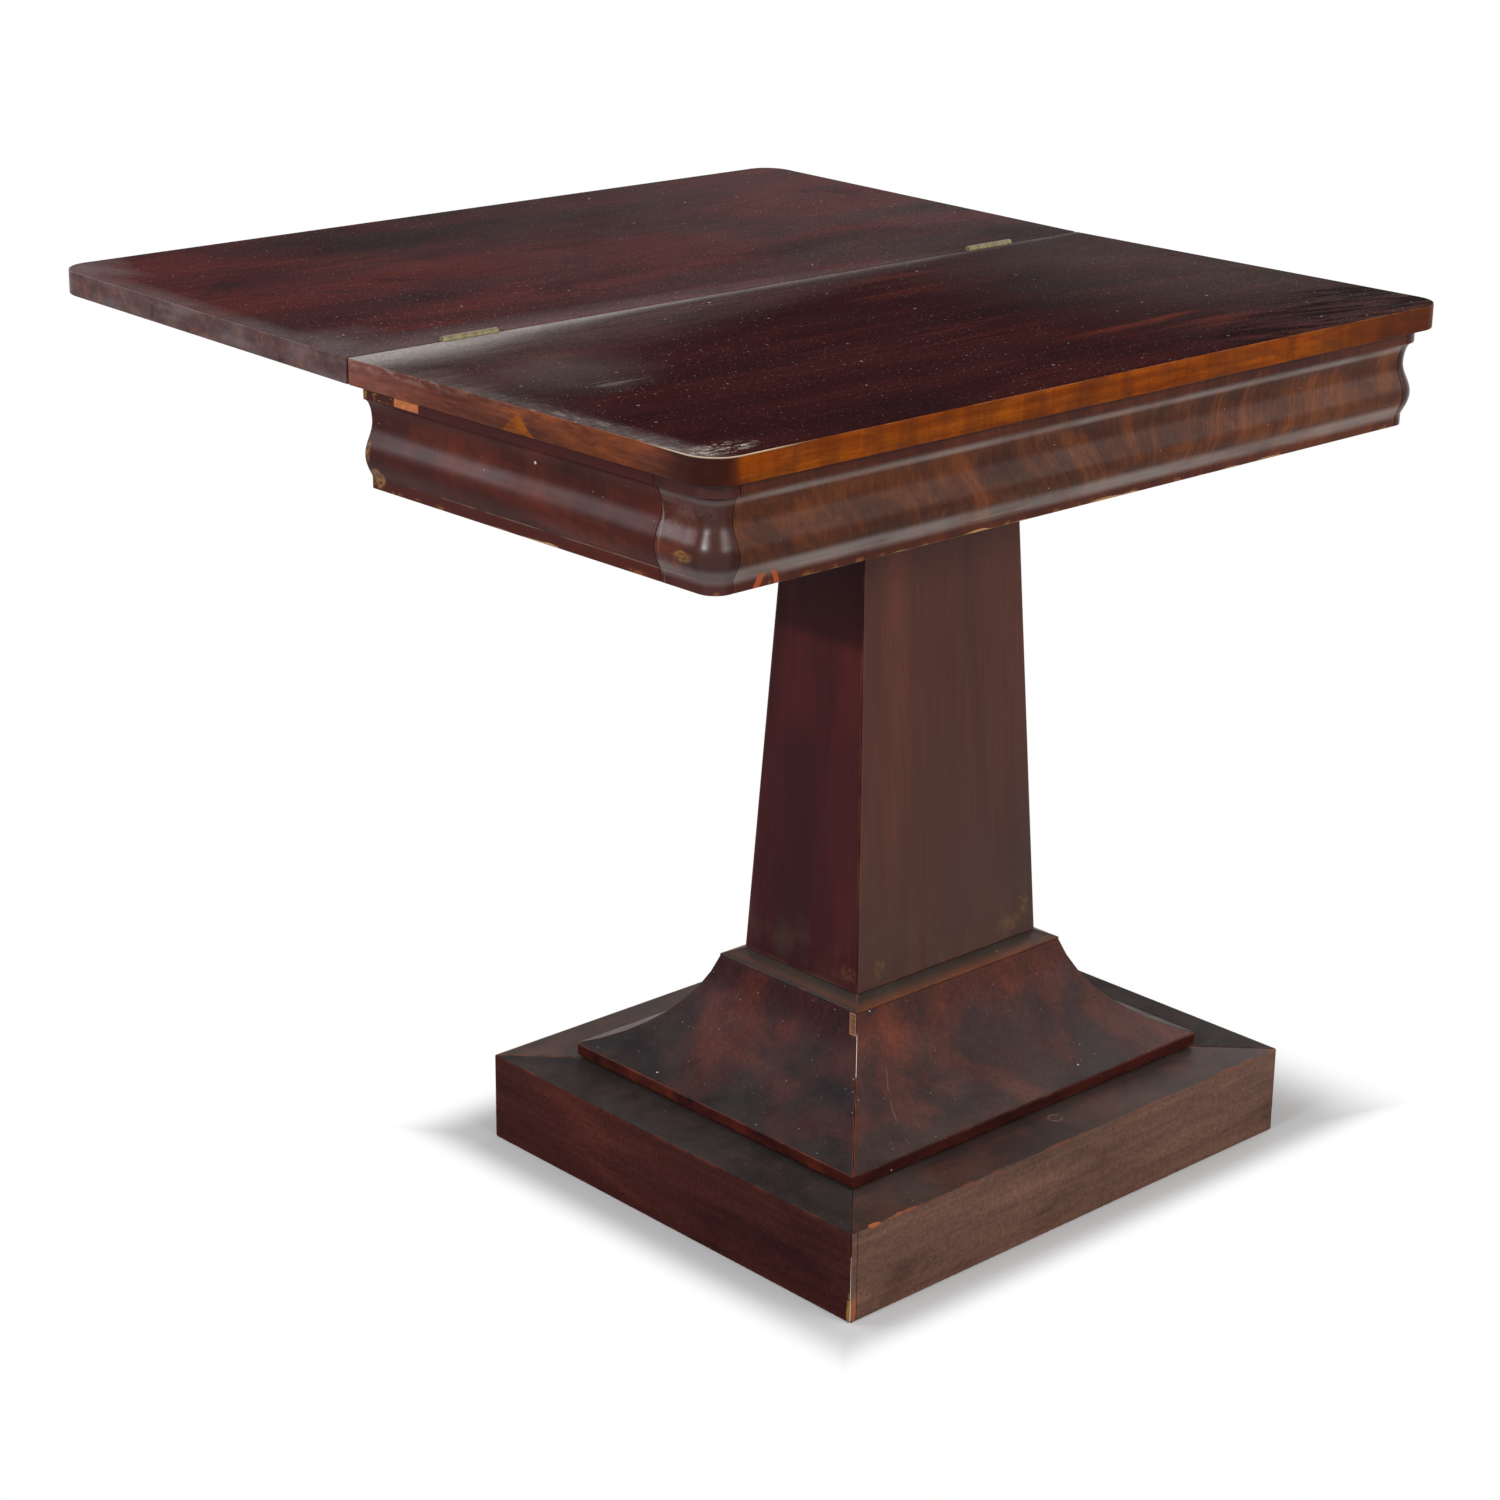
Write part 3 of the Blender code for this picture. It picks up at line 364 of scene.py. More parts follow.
def flap_bloom_and_sheen(f):
    """Bloom and painted sheen in a strip by the joint, at two places of the left end, and more to
    the right.
    """
    strip = f.fit(f.y, 0.200, f.fit(f.x, -LEAF_X, LEAF_X, 0.265, 0.235))
    return f.most(
        f.times(f.minus(1.0, strip), f.fit(f.x, -LEAF_X, LEAF_X, 0.34, 0.22)),
        f.times(f.blob((-0.42, 0.24, TOP_Z), (0.10, 0.10, 1), 0.5, 0.9, 14), 0.36),
        f.times(f.blob((-0.42, 0.62, TOP_Z), (0.07, 0.10, 1), 0.5, 0.9, 25), 0.46),
        f.times(f.near(f.x, -LEAF_X, 0.004, 0.030), 0.30),
        f.fit(f.x, -0.35, LEAF_X, 0.05, 0.22, False))


def leaf_bloom_and_sheen(f):
    """Bloom and painted sheen in a bright line and a wider veil before the joint, and thinner
    elsewhere.
    """
    brushed = f.noise((14, 130, 10), 3, 0.6, 0.8, (2, 7, 0))
    streaky = f.fit(brushed, 0.35, 0.65, 0.60, 1.0)
    behind = f.minus(JOINT_Y, f.y)

    def fading(*width):
        return f.fit(f.calc("DIVIDE", behind, f.fit(f.x, *width)), 0, 1, 1, 0)
    line = fading(-LEAF_X, -0.10, 0.100, 0.022)
    veil = fading(-LEAF_X, 0.25, 0.190, 0.050)
    return f.most(
        f.plus(f.times(line, line, f.fit(f.x, -LEAF_X, 0.30, 0.58, 0.18)),
               f.times(veil, f.fit(f.x, -LEAF_X, 0.30, 0.13, 0.08), streaky)),
        f.times(f.fit(f.x, -LEAF_X, -0.35, 1.0, 0.0), f.fit(f.y, -0.12, 0.17), 0.20, streaky),
        f.times(f.blob((-0.34, 0.06, TOP_Z), (0.12, 0.11, 1), 0.5, 0.95, 12), 0.09),
        f.times(f.near(f.x, -LEAF_X, 0.003, 0.026), 0.20, streaky),
        f.times(f.blob((-0.325, -0.003, TOP_Z), (0.045, 0.016, 1), 0.6, 0.8, 40),
                f.fit(brushed, 0.5, 0.7), 0.22),
        f.times(f.fit(f.x, 0.05, LEAF_X), f.fit(f.y, -0.22, 0.02, 0.5, 1.0), 0.09))


def corner_scuffs(f, up):
    """The white scuff at the near left corner and the rubbed strip behind it."""
    scuff = f.times(f.blob((-0.402, -0.209, TOP_Z), (0.040, 0.021, 1), 0.7, 0.75, 45),
                    f.patches((60, 230, 38), (0.50, 0.60), 4, 0.75, 1.4), up)
    rub = f.times(f.fit(f.x, -0.40, -LEAF_X), f.fit(f.y, 0.08, -0.05), up,
                  f.patches((160, 40, 40), (0.54, 0.66), 4, 0.7, 0.8))
    return f.times(scuff, 0.64), f.times(rub, 0.22)


def right_front_strokes(f, up):
    """Dark strokes at a slant inside the leaf's right front corner."""
    turned = f.add("ShaderNodeVectorRotate", rotation_type="Z_AXIS")
    f.feed(turned.inputs["Vector"], f.place)
    turned.inputs["Angle"].default_value = math.radians(13)
    strokes = f.noise((12, 150, 10), 3, 0.6, 0.7, (6, 6, 0), turned.outputs[0])
    inward = f.fit(f.x, 0.04, 0.42, -0.190, -0.105)
    f.lay((16, 7, 9), f.fit(f.x, 0.04, 0.18), f.fit(f.minus(inward, f.y), 0.0, 0.032),
          f.fit(strokes, 0.46, 0.57), up, 0.80)


def flap_edge_finish(name):
    """The flap's edge: greyed, and orange-brown at the far side."""
    f = Finish(name)
    stops = [(0.30, (46, 28, 28)), (0.5, (70, 44, 42)), (0.72, (94, 58, 48))]
    fine = f.veneer(stops, "X", (14, 60), (1, 1, 1), 0.3, 0.3)[0]
    f.lay((132, 124, 122), f.patches((16, 16, 60), (0.4, 0.7)), 0.24)
    greyed = f.colour
    far = [(0.30, (88, 40, 16)), (0.50, (112, 54, 20)), (0.72, (126, 62, 22))]
    f.veneer(far, "X", (8, 60), (4, 1, 1), 0.3, 0.35)
    f.colour = f.mix(f.fit(f.ny, 0.45, 0.85), greyed, f.colour)
    return f.close(f.fit(fine, 0.3, 0.7, 0.42, 0.55), fine, 0.00008, 0.12)


def leaf_edge_finish(name):
    """The fixed leaf's edge: orange along the front, brown with an orange triangle at the ends."""
    f = Finish(name)
    stops = [(0.28, (98, 42, 5)), (0.46, (126, 57, 7)), (0.62, (142, 70, 10)),
             (0.80, (110, 48, 8))]
    fine = f.veneer(stops, "X", (9, 60), (0, 0, 0), 0.24, 0.30)[0]
    f.lay((76, 34, 12), f.patches((30, 5, 5), (0.50, 0.60, 0.0, 0.45), 1, 0.5, 0, (8, 0, 0)))
    f.lay((84, 42, 20), f.patches((26, 12, 50), (0.46, 0.64), 4, 0.65, 0.6, (5, 1, 9)), 0.45)
    f.shade(f.noise((150, 30, 26), 3, 0.6, 0.6, (3, 3, 3)), 0.90, 1.09)
    front = f.colour
    stops = [(0.28, (60, 30, 25)), (0.50, (92, 49, 36)), (0.75, (122, 64, 38))]
    f.veneer(stops, "Y", (7, 60), (2, 2, 2), 0.3, 0.35)
    slope = f.times(f.size(f.plus(f.y, 0.016)), 0.80)
    feather = f.times(f.noise((120, 240, 90), 4, 0.7, 0.6), 0.013)
    triangle = f.minus(TOP_Z + 0.0015, f.plus(f.plus(f.z, slope), feather))
    f.lay((138, 74, 18), f.fit(triangle, 0.0, 0.0030), 0.72)
    f.lay((122, 62, 28), f.fit(f.y, -0.02, -0.09), f.fit(f.y, -0.20, -0.16),
          f.patches((9, 14, 60), (0.35, 0.65), 3), 0.55)
    f.lay((56, 27, 24), f.patches((20, 26, 90), (0.50, 0.66), 4, 0.65, 0.5, (4, 2, 6)), 0.50)
    f.lay((140, 92, 84), f.fit(f.y, 0.06, 0.195), 0.30)
    f.shade(f.noise((60, 60, 420), 3, 0.7, 0.4), 0.82, 1.18)
    f.lay((170, 146, 140), f.fit(f.z, TOP_Z - 0.009, TOP_Z - 0.0005), f.fit(f.y, -0.05, 0.15),
          f.patches((70, 70, 200), (0.45, 0.65), 3, 0.65), 0.30)
    f.colour = f.mix(f.fit(f.size(f.nx), 0.45, 0.85), front, f.colour)
    # painted shade at the rounded near corner; darker also towards the right end
    ends = f.most(f.times(f.fit(f.x, -0.415, -0.398, 1, 0), f.fit(f.y, -0.165, -0.200)),
                  f.fit(f.x, 0.22, 0.42, 0.0, 0.80))
    f.lay((44, 20, 17), ends, 0.92)
    f.lay((60, 26, 16), f.fit(f.z, TOP_Z - 0.013, TOP_Z - 0.021),
          f.patches((24, 24, 60), (0.42, 0.62), 3), 0.40)
    f.lay((160, 108, 70), f.fit(f.z, TOP_Z - 0.0015, TOP_Z - 0.0002),
          f.patches(50, (0.44, 0.60), 4, 0.65), 0.35)
    f.lay((206, 186, 160), f.fit(f.z, TOP_Z - 0.0018, TOP_Z - 0.0003), f.fit(f.x, -0.33, -0.385),
          f.fit(f.y, -0.15, -0.20), 0.9)
    return f.close(f.fit(fine, 0.3, 0.7, 0.34, 0.48), fine, 0.00008, 0.035)


def flap_outside_finish(name):
    """The flap's outer face, which is the table's top when it is folded: polished veneer."""
    f = Finish(name)
    stops = [(0.30, (60, 24, 19)), (0.50, (86, 36, 25)), (0.75, (112, 52, 32))]
    fine = f.veneer(stops, "X", (2.2, 10), (2, 5, 0), 0.25, 0.3)[0]
    f.lay((42, 18, 16), f.patches((5, 16, 5), (0.52, 0.70), 5, 0.6, 1.4, (3, 3, 3)), 0.55)
    return f.close(f.patches(9, (0.3, 0.7, 0.38, 0.46)), fine, 0.00008, 0.004)


def leaf_underside_finish(name):
    """Bare, stained wood."""
    f = Finish(name)
    stops = [(0.3, (84, 50, 32)), (0.52, (112, 70, 44)), (0.75, (134, 88, 56))]
    fine, pore = f.veneer(stops, "X", (1.6, 9), (6, 1, 0), 0.25, 0.4)
    f.lay((66, 42, 30), f.patches((5, 7, 5), (0.42, 0.7, 0.0, 0.6), 4, 0.6, 0.5))
    return f.close(0.7, f.plus(fine, pore), 0.00012, 0.3)


# The frame

def apron_finish(name, kind):
    """The frame's moulded rails and corner blocks."""
    f = Finish(name)
    if kind == "front":
        fine = flame_figure(f)
    else:
        fine = striped_figure(f, kind)
    gloss = corner_tones(f) if kind == "corner" else APRON_GLOSS[kind]
    f.lay((58, 20, 20), f.fit(f.z, FRAME_Z + 0.0735, FRAME_Z + 0.0745), 0.50)
    f.lay((72, 28, 22), f.fit(f.z, FRAME_Z + 0.0108, FRAME_Z + 0.0096), 0.45)
    # pale lines under the top fillet and above the foot fillet: painted reflection of the floor,
    # and bloom
    sheen_and_bloom_ridges = f.most(f.times(f.near(f.z, FRAME_Z + 0.0705, 0.0012, 0.0040), 0.9),
                    f.near(f.z, FRAME_Z + 0.0135, 0.0020, 0.0065))
    f.lay((196, 186, 182), sheen_and_bloom_ridges, f.patches((9, 9, 30), (0.30, 0.60, 0.45, 1.0), 3),
          APRON_SHEEN_AND_BLOOM[kind])
    {"corner": corner_marks, "front": wedges, "side": rear_chips}[kind](f)
    f.lay((140, 86, 46), f.fit(f.z, FRAME_Z + 0.0045, FRAME_Z + 0.0005),
          f.patches(55, (0.56, 0.63), 4, 0.65), 0.65)
    f.lay((150, 128, 110), f.near(f.z, FRAME_Z + 0.0104, 0.0003, 0.0004),
          f.patches(30, (0.40, 0.60), 3), 0.40)
    pale = f.most(f.times(f.specks(0.010, 0.0007, 0.35), 0.6),
                  f.specks(0.050, 0.0016, 0.35, (2, 6, 3)))
    f.lay(PALE_DUST, pale, 0.8)
    least = APRON_LEAST_ROUGH[kind]
    rough = f.patches((10, 10, 30), (0.3, 0.75, least, least + 0.13), 4, 0.6, 0.3)
    height = f.plus(f.times(f.noise((26, 26, 34), 3, 0.5), 1.6), f.times(fine, 0.25))
    return f.close(rough, height, 0.00012, gloss)


def flame_figure(f):
    """Upright strokes and plumes that lean one way at the left and the other at the right."""
    stops = [(0.28, (44, 22, 15)), (0.46, (68, 34, 20)), (0.60, (88, 46, 24)),
             (0.78, (108, 58, 26))]
    f.colour = f.ramp(f.noise((6, 6, 10), 4, 0.6, 1.2), stops)
    sway = f.times(f.minus(f.noise((7, 3, 9), 2, 0.5, 0.4, (5, 5, 5)), 0.5), 0.024)
    lean = f.fit(f.x, -0.05, 0.13, 0.65, -0.40)
    leaning = f.calc("MULTIPLY_ADD", f.minus(f.z, FRAME_Z + 0.045), lean, f.x)
    flowing = f.joined(f.plus(leaning, sway), f.y, f.z)
    strokes = f.noise((115, 4, 4), 4, 0.62, 0.1, (2, 0, 0), flowing)
    hairs = f.noise((380, 4, 5), 2, 0.6, 0.1, (3, 0, 0), flowing)
    plumes = f.noise((34, 4, 7), 3, 0.55, 0.8, (7, 0, 3), flowing)
    where = f.patches((6, 5, 8), (0.36, 0.60, 0.35, 1.0), 3, 0.5, 0.3, (3, 3, 3))
    right = f.times(f.fit(f.x, -0.30, 0.05, 0.25, 1.0), f.fit(f.x, 0.18, 0.34, 1.0, 0.45))
    f.lay((140, 78, 28), f.fit(strokes, 0.48, 0.70), where, right, 0.32)
    f.lay((40, 21, 18), f.fit(strokes, 0.50, 0.32), where, right, 0.34)
    blotch = f.noise((13, 6, 20), 4, 0.6, 0.5, (1, 4, 2))
    f.lay((44, 26, 22), f.fit(blotch, 0.50, 0.66), 0.55)
    f.lay((116, 64, 27), f.fit(blotch, 0.47, 0.33), 0.50)
    f.lay((40, 21, 21), f.fit(plumes, 0.52, 0.70), 0.45)
    f.lay((126, 68, 32), f.fit(plumes, 0.48, 0.32), 0.30)
    plain = f.colour
    f.shade(hairs, 0.84, 1.17, 0.35, 0.65)
    f.colour = f.mix(f.fit(f.size(f.minus(f.x, 0.08)), 0.12, 0.28, 1.0, 0.3), plain, f.colour)
    fine = f.noise(along("Z", 25, 320), 3)
    f.shade(fine, 0.84, 1.14)
    return fine


def striped_figure(f, kind):
    """Dark red veneer with a warm band on the bulge."""
    stops = [(0.28, (34, 11, 10)), (0.50, (56, 19, 14)), (0.72, (84, 31, 20))]
    if kind == "corner":
        # the corner blocks take a darker copy of the veneer: painted shade
        stops = [(0.30, (20, 10, 10)), (0.48, (34, 15, 14)), (0.68, (64, 30, 22))]
    fine = f.veneer(stops, "Y", (5, 16), (1, 0, 2), 0.20, 0.25)[0]
    f.shade(f.noise(along("Z", 5, 90), 3, 0.6, 0.2), 0.84, 1.14)
    f.lay((104, 42, 25), f.near(f.z, FRAME_Z + 0.048, 0.006, 0.022),
          f.patches((5, 15, 9), (0.42, 0.72), 4, 0.6, 0.3, (3, 7, 1)), 0.50)
    return fine


def corner_tones(f):
    """The block's rounding is glossier than its sides and painted darker as shade; a pale band on
    its left face is painted sheen; gives the gloss.
    """
    bent = f.times(f.size(f.nx), f.size(f.ny))
    # painted shade on the rounding
    f.lay((46, 20, 16), f.fit(bent, 0.05, 0.35, 0.0, 0.80))
    f.lay((112, 52, 34), f.near(f.z, FRAME_Z + 0.024, 0.006, 0.010), f.fit(f.y, -0.196, -0.186),
          f.patches(60, (0.35, 0.6), 3), 0.55)
    # a pale band on the left-facing part: painted sheen
    f.lay((120, 104, 100), f.near(f.z, FRAME_Z + 0.052, 0.008, 0.014), f.fit(f.nx, -0.5, -0.8),
          f.patches(70, (0.45, 0.65), 4, 0.7), 0.25)
    f.lay((30, 18, 18), f.near(f.z, FRAME_Z + 0.004, 0.006, 0.008), 0.55)
    return f.fit(bent, 0.05, 0.35, 0.08, 0.24)


def corner_marks(f):
    """The veneer's open seam on the block's left side and an ochre smudge."""
    seam_y = f.calc("MULTIPLY_ADD", f.minus(f.z, 0.6765), 0.10, -0.1610)
    bow = f.times(f.calc("POWER", f.size(f.minus(f.z, 0.672)), 2.0), 3.0)
    f.lay((96, 46, 34), f.fit(f.y, -0.166, -0.171), 0.15)
    f.lay((150, 124, 108), f.near(f.y, f.plus(seam_y, bow), 0.0002, 0.0005),
          f.fit(f.nx, -0.6, -0.8), f.patches((40, 40, 90), (0.40, 0.55, 0.25, 1.0), 3), 0.55)
    smudge = f.times(f.blob((-FRAME_X, -0.188, 0.6615), (0.03, 0.012, 0.0055), 0.5, 0.4, 110),
                     f.most(f.patches((170, 170, 260), (0.44, 0.54), 4, 0.75, 1.0), 0.35))
    f.lay((140, 102, 52), smudge, 0.65)


def wedges(f):
    """Two orange repair wedges in the foot fillet, near its left end."""
    low = f.fit(f.z, FRAME_Z + 0.0108, FRAME_Z + 0.0098)

    def wedge(slant, at, width):
        across = f.calc("MULTIPLY_ADD", f.minus(f.z, FRAME_Z), slant, f.x)
        return f.times(low, f.near(across, at, width, 0.0006))
    f.lay((176, 82, 46), f.most(wedge(-0.65, -0.3700, 0.0031), wedge(0.35, -0.3485, 0.0023)),
          f.patches((260, 60, 90), (0.3, 0.7, 0.50, 0.85), 3))


def rear_chips(f):
    """The pale let-in piece and the bare chips at the left rail's rear end."""
    ragged = f.calc("MULTIPLY_ADD", f.noise(150, 2, 0.5), 0.004, f.y)
    left = f.fit(f.nx, -0.3, -0.6)
    band = f.fit(f.z, FRAME_Z + 0.0750, FRAME_Z + 0.0756)
    fleck = f.patches((200, 260, 300), (0.3, 0.7), 3)
    f.lay(f.mix(fleck, (164, 88, 50), (196, 122, 76)), band,
          f.near(ragged, 0.1385, 0.0150, 0.0008), left, 0.85)
    bare = [f.times(f.blob((-FRAME_X, *centre), (0.03, *reach), *border), left)
            for centre, reach, border in (
                ((0.184, 0.6445), (0.011, 0.010), (0.35, 0.25, 120)),
                ((0.190, 0.666), (0.004, 0.009), (0.5, 0.4, 150)),
                ((0.191, 0.713), (0.004, 0.006), (0.5, 0.4, 150)))]
    chips = f.times(band, f.near(ragged, 0.171, 0.014, 0.003), left,
                    f.patches((110, 110, 330), (0.54, 0.60), 3, 0.7))
    dark = f.patches(240, (0.42, 0.6), 3, 0.7)
    f.lay(f.mix(dark, (134, 98, 58), (74, 44, 26)), f.most(*bare, chips), 0.75)


# The pillar and the base

def pillar_finish(name, greyed):
    """Plain veneer with upright stripes; the front and back boards are the greyed ones, a paler
    copy that is painted sheen.
    """
    f = Finish(name)
    if greyed:
        # the greyed copy's paler, greyer tones are painted sheen
        stops = [(0.28, (57, 30, 25)), (0.50, (71, 37, 30)), (0.74, (89, 48, 36))]
    else:
        stops = [(0.28, (39, 13, 16)), (0.50, (51, 17, 20)), (0.74, (65, 23, 24))]
    fine = f.veneer(stops, "Z", (2.0, 14), (4, 4, 0), 0.10, 0.16)[0]
    f.shade(f.noise((55, 55, 1.2), 2, 0.5, 0.1, (9, 9, 0)), 0.93, 1.06)
    if greyed:
        # greyer towards the bottom: painted reflection of the floor
        f.lay((64, 45, 38), f.fit(f.z, 0.47, 0.24), f.patches((16, 16, 4), (0.3, 0.65, 0.4, 1)),
              0.50)
    else:
        f.lay((84, 32, 26), f.near(f.z, 0.455, 0.020, 0.055),
              f.patches((30, 30, 9), (0.35, 0.65)), 0.35)
    ragged = f.patches((200, 200, 160), (0.36, 0.60), 4, 0.7, 0.8)
    smudges = [f.times(f.blob(*patch), amount) for patch, amount in (
        (((-0.084, -0.07, 0.208), (0.008, 0.04, 0.013), 0.6, 0.5, 130), 0.26),
        (((0.080, -0.07, 0.206), (0.022, 0.04, 0.010), 0.6, 0.6, 100), 0.26),
        (((0.098, -0.07, 0.220), (0.008, 0.04, 0.012), 0.6, 0.6, 120), 0.30),
        (((-0.110, -0.058, 0.205), (0.04, 0.012, 0.010), 0.6, 0.6, 120), 0.22))]
    f.lay((126, 98, 52), ragged, f.most(*smudges))
    f.lay((92, 78, 62), f.fit(f.z, 0.27, 0.20), f.patches((30, 30, 22), (0.40, 0.70)), 0.22)
    f.lay((112, 66, 52), f.arris(), f.patches((40, 40, 18), (0.40, 0.65), 3), 0.45)
    f.lay(PALE_DUST, f.specks(0.045, 0.0016, 0.35), 0.6)
    rough = f.patches((14, 14, 5), (0.3, 0.7, 0.34, 0.46))
    height = f.plus(f.times(f.noise((22, 22, 6), 2, 0.5), 1.2), f.times(fine, 0.3))
    return f.close(rough, height, 0.0001, 0.15 if greyed else 0.06)


def cove_finish(name, front):
    """Mottled veneer of the hollow-faced boards."""
    f = Finish(name)
    if front:
        stops = [(0.32, (33, 24, 26)), (0.45, (47, 29, 28)), (0.57, (68, 35, 29)),
                 (0.72, (92, 46, 33))]
    else:
        stops = [(0.34, (22, 18, 22)), (0.46, (34, 22, 24)), (0.56, (47, 24, 24)),
                 (0.70, (71, 32, 27))]
    f.colour = f.ramp(f.noise((11, 11, 9), 5, 0.52, 0.7, (4, 1, 2) if front else (1, 6, 3)), stops)
    if front:
        lines = f.wave((150, 60, 40), 2.5, 2.0, 0.5, "X")
        f.lay((118, 56, 34), f.blob((-0.092, -0.12, 0.163), (0.055, 0.06, 0.036), 0.5, 0.8, 22),
              f.fit(lines, 0.15, 0.8, 0.45, 1.0), 0.80)
        f.lay((116, 54, 38), f.blob((0.075, -0.13, 0.165), (0.05, 0.06, 0.022), 0.7, 0.8, 26), 0.55)
        f.lay((44, 30, 30), f.blob((0.01, -0.13, 0.135), (0.06, 0.08, 0.03), 0.6, 0.8, 24), 0.6)
    else:
        f.lay((92, 42, 34), f.blob((-0.17, -0.04, 0.118), (0.08, 0.05, 0.014), 0.8, 0.8, 26), 0.30)
    fine = f.noise((190, 190, 110), 4, 0.7, 0.3)
    f.shade(fine, 0.80, 1.18)
    f.shade(f.noise(330, 2, 0.7), 0.85, 1.15)
    near_mitre(f, front)
    if front:
        slanted = f.calc("MULTIPLY_ADD", f.z, -0.72, f.x)
        f.lay((160, 140, 128), f.near(slanted, -0.2130, 0.0004, 0.0004),
              f.near(f.z, 0.118, 0.016, 0.008), f.patches(60, (0.38, 0.5), 3), 0.16)
    f.lay(DUST, f.fit(f.nz, 0.35, 0.95), f.patches(20, (0.3, 0.7, 0.4, 1)), 0.05)
    spots = f.most(f.times(f.specks(0.0060, 0.0007, 0.35), 0.50),
                   f.specks(0.026, 0.0012, 0.35, (3, 3, 3)))
    f.lay(PALE_DUST, spots, 0.65)
    height = f.plus(f.times(f.noise(40, 3, 0.5), 1.2), f.times(fine, 0.3))
    return f.close(f.patches(24, (0.3, 0.7, 0.36, 0.52)), height, 0.00012,
                   0.075 if front else 0.030)


def near_mitre(f, front):
    """The coves' near mitre: a worn arris, an open split and a chip let in at its top."""
    across = f.minus(f.minus(f.x, f.y), CAP_Y - CAP_X)
    near_side = f.times(f.fit(f.x, 0.0, -0.05), f.fit(f.y, 0.0, -0.05))
    worn = f.times(f.near(across, 0.0, 0.0006, 0.0010), near_side,
                   f.patches((30, 30, 60), (0.36, 0.55), 3))
    f.lay((134, 62, 36), worn, f.fit(f.z, 0.15, 0.13, 0.35, 1), 0.70)
    f.lay((232, 222, 208), f.near(across, 0.0004, 0.0005, 0.0004), near_side,
          f.near(f.z, 0.1530, 0.0125, 0.0030), 0.95)
    if not front:
        f.lay((140, 104, 84), f.near(across, -0.0045, 0.0036, 0.0006), near_side,
              f.fit(f.z, 0.1655, 0.1662))
        hatch = f.patches((160, 160, 700), (0.4, 0.6), 3)
        f.lay(f.mix(hatch, (86, 54, 40), (122, 80, 56)),
              f.near(across, -0.0045, 0.0029, 0.0004), near_side,
              f.fit(f.z, 0.1664, 0.1669), f.fit(f.z, 0.1816, 0.1811))


def base_finish(name, kind):
    """Cap board, base board and plinth rails."""
    f = Finish(name)
    stops = {
        "cap": [(0.30, (42, 26, 21)), (0.50, (60, 36, 28)), (0.72, (80, 46, 32))],
        "board": [(0.30, (32, 12, 11)), (0.50, (60, 23, 18)), (0.72, (86, 34, 24))],
        # the front and back rails' paler, greyer tones are painted sheen on the same wood as the
        # sides
        "front": [(0.30, (76, 51, 43)), (0.50, (98, 69, 58)), (0.72, (116, 84, 68))],
        "side": [(0.30, (46, 21, 20)), (0.50, (61, 29, 26)), (0.72, (78, 38, 32))],
    }[kind]
    fine = f.veneer(stops, "Y" if kind == "side" else "X", (5.0, 22), (2, 3, 1), 0.16, 0.30)[0]
    if kind == "cap":
        outer = f.fit(f.z, 0.1885, 0.1845)
        ahead = f.mix(outer, (46, 37, 33), (96, 50, 28))
        aside = f.mix(outer, (74, 38, 28), (36, 30, 31))
        f.lay(f.mix(f.fit(f.size(f.nx), 0.2, 0.4), ahead, aside),
              f.patches((18, 18, 60), (0.30, 0.60, 0.45, 1.0)), 0.85)
    if kind in ("front", "side"):
        plinth_top(f, kind)
        f.shade(f.noise(300, 3, 0.7), 0.80, 1.22)
        plinth_marks(f, kind)
    film = f.times(f.fit(f.nz, 0.55, 0.95), f.patches(9, (0.3, 0.8, 0.35, 1.0), 4, 0.6, 0.4),
                   BASE_DUST[kind])
    f.lay(DUST, film)
    f.lay((128, 66, 40), f.arris(), f.patches(45, (0.47, 0.62), 4, 0.65),
          0.40 if kind == "front" else 0.18)
    f.lay(PALE_DUST, f.most(f.times(f.specks(0.007, 0.0007, 0.35), 0.45),
                            f.times(f.specks(0.034, 0.0013, 0.35, (5, 2, 1)), 0.65)))
    rough = f.plus(f.patches(12, (0.3, 0.7, 0.34, 0.46)), f.times(film, 0.6))
    height = f.plus(f.times(f.noise(24, 2, 0.5), 1.0), f.times(fine, 0.4))
    return f.close(rough, height, 0.0001, BASE_GLOSS[kind])


def plinth_top(f, kind):
    """The plinth's top is darker than its sides, most of all beside the board, in painted shade,
    and at the rim.
    """
    up = f.fit(f.nz, 0.5, 0.9)
    patchy = f.patches(26, (0.36, 0.66), 5, 0.65, 0.5)
    tones = ((24, 10, 9), (60, 27, 21)) if kind == "front" else ((9, 9, 12), (40, 29, 30))
    f.lay(f.mix(patchy, *tones), up, 0.90)
    out = f.most(f.minus(f.size(f.x), BOARD_X), f.minus(f.size(f.y), BOARD_Y))
    # painted shade beside the base board, and darker at the outer rim
    rim = f.most(f.fit(out, 0.008, 0.001), f.times(f.fit(out, 0.036, 0.046), 0.6))
    f.lay((26, 18, 18), rim, up, 0.60)


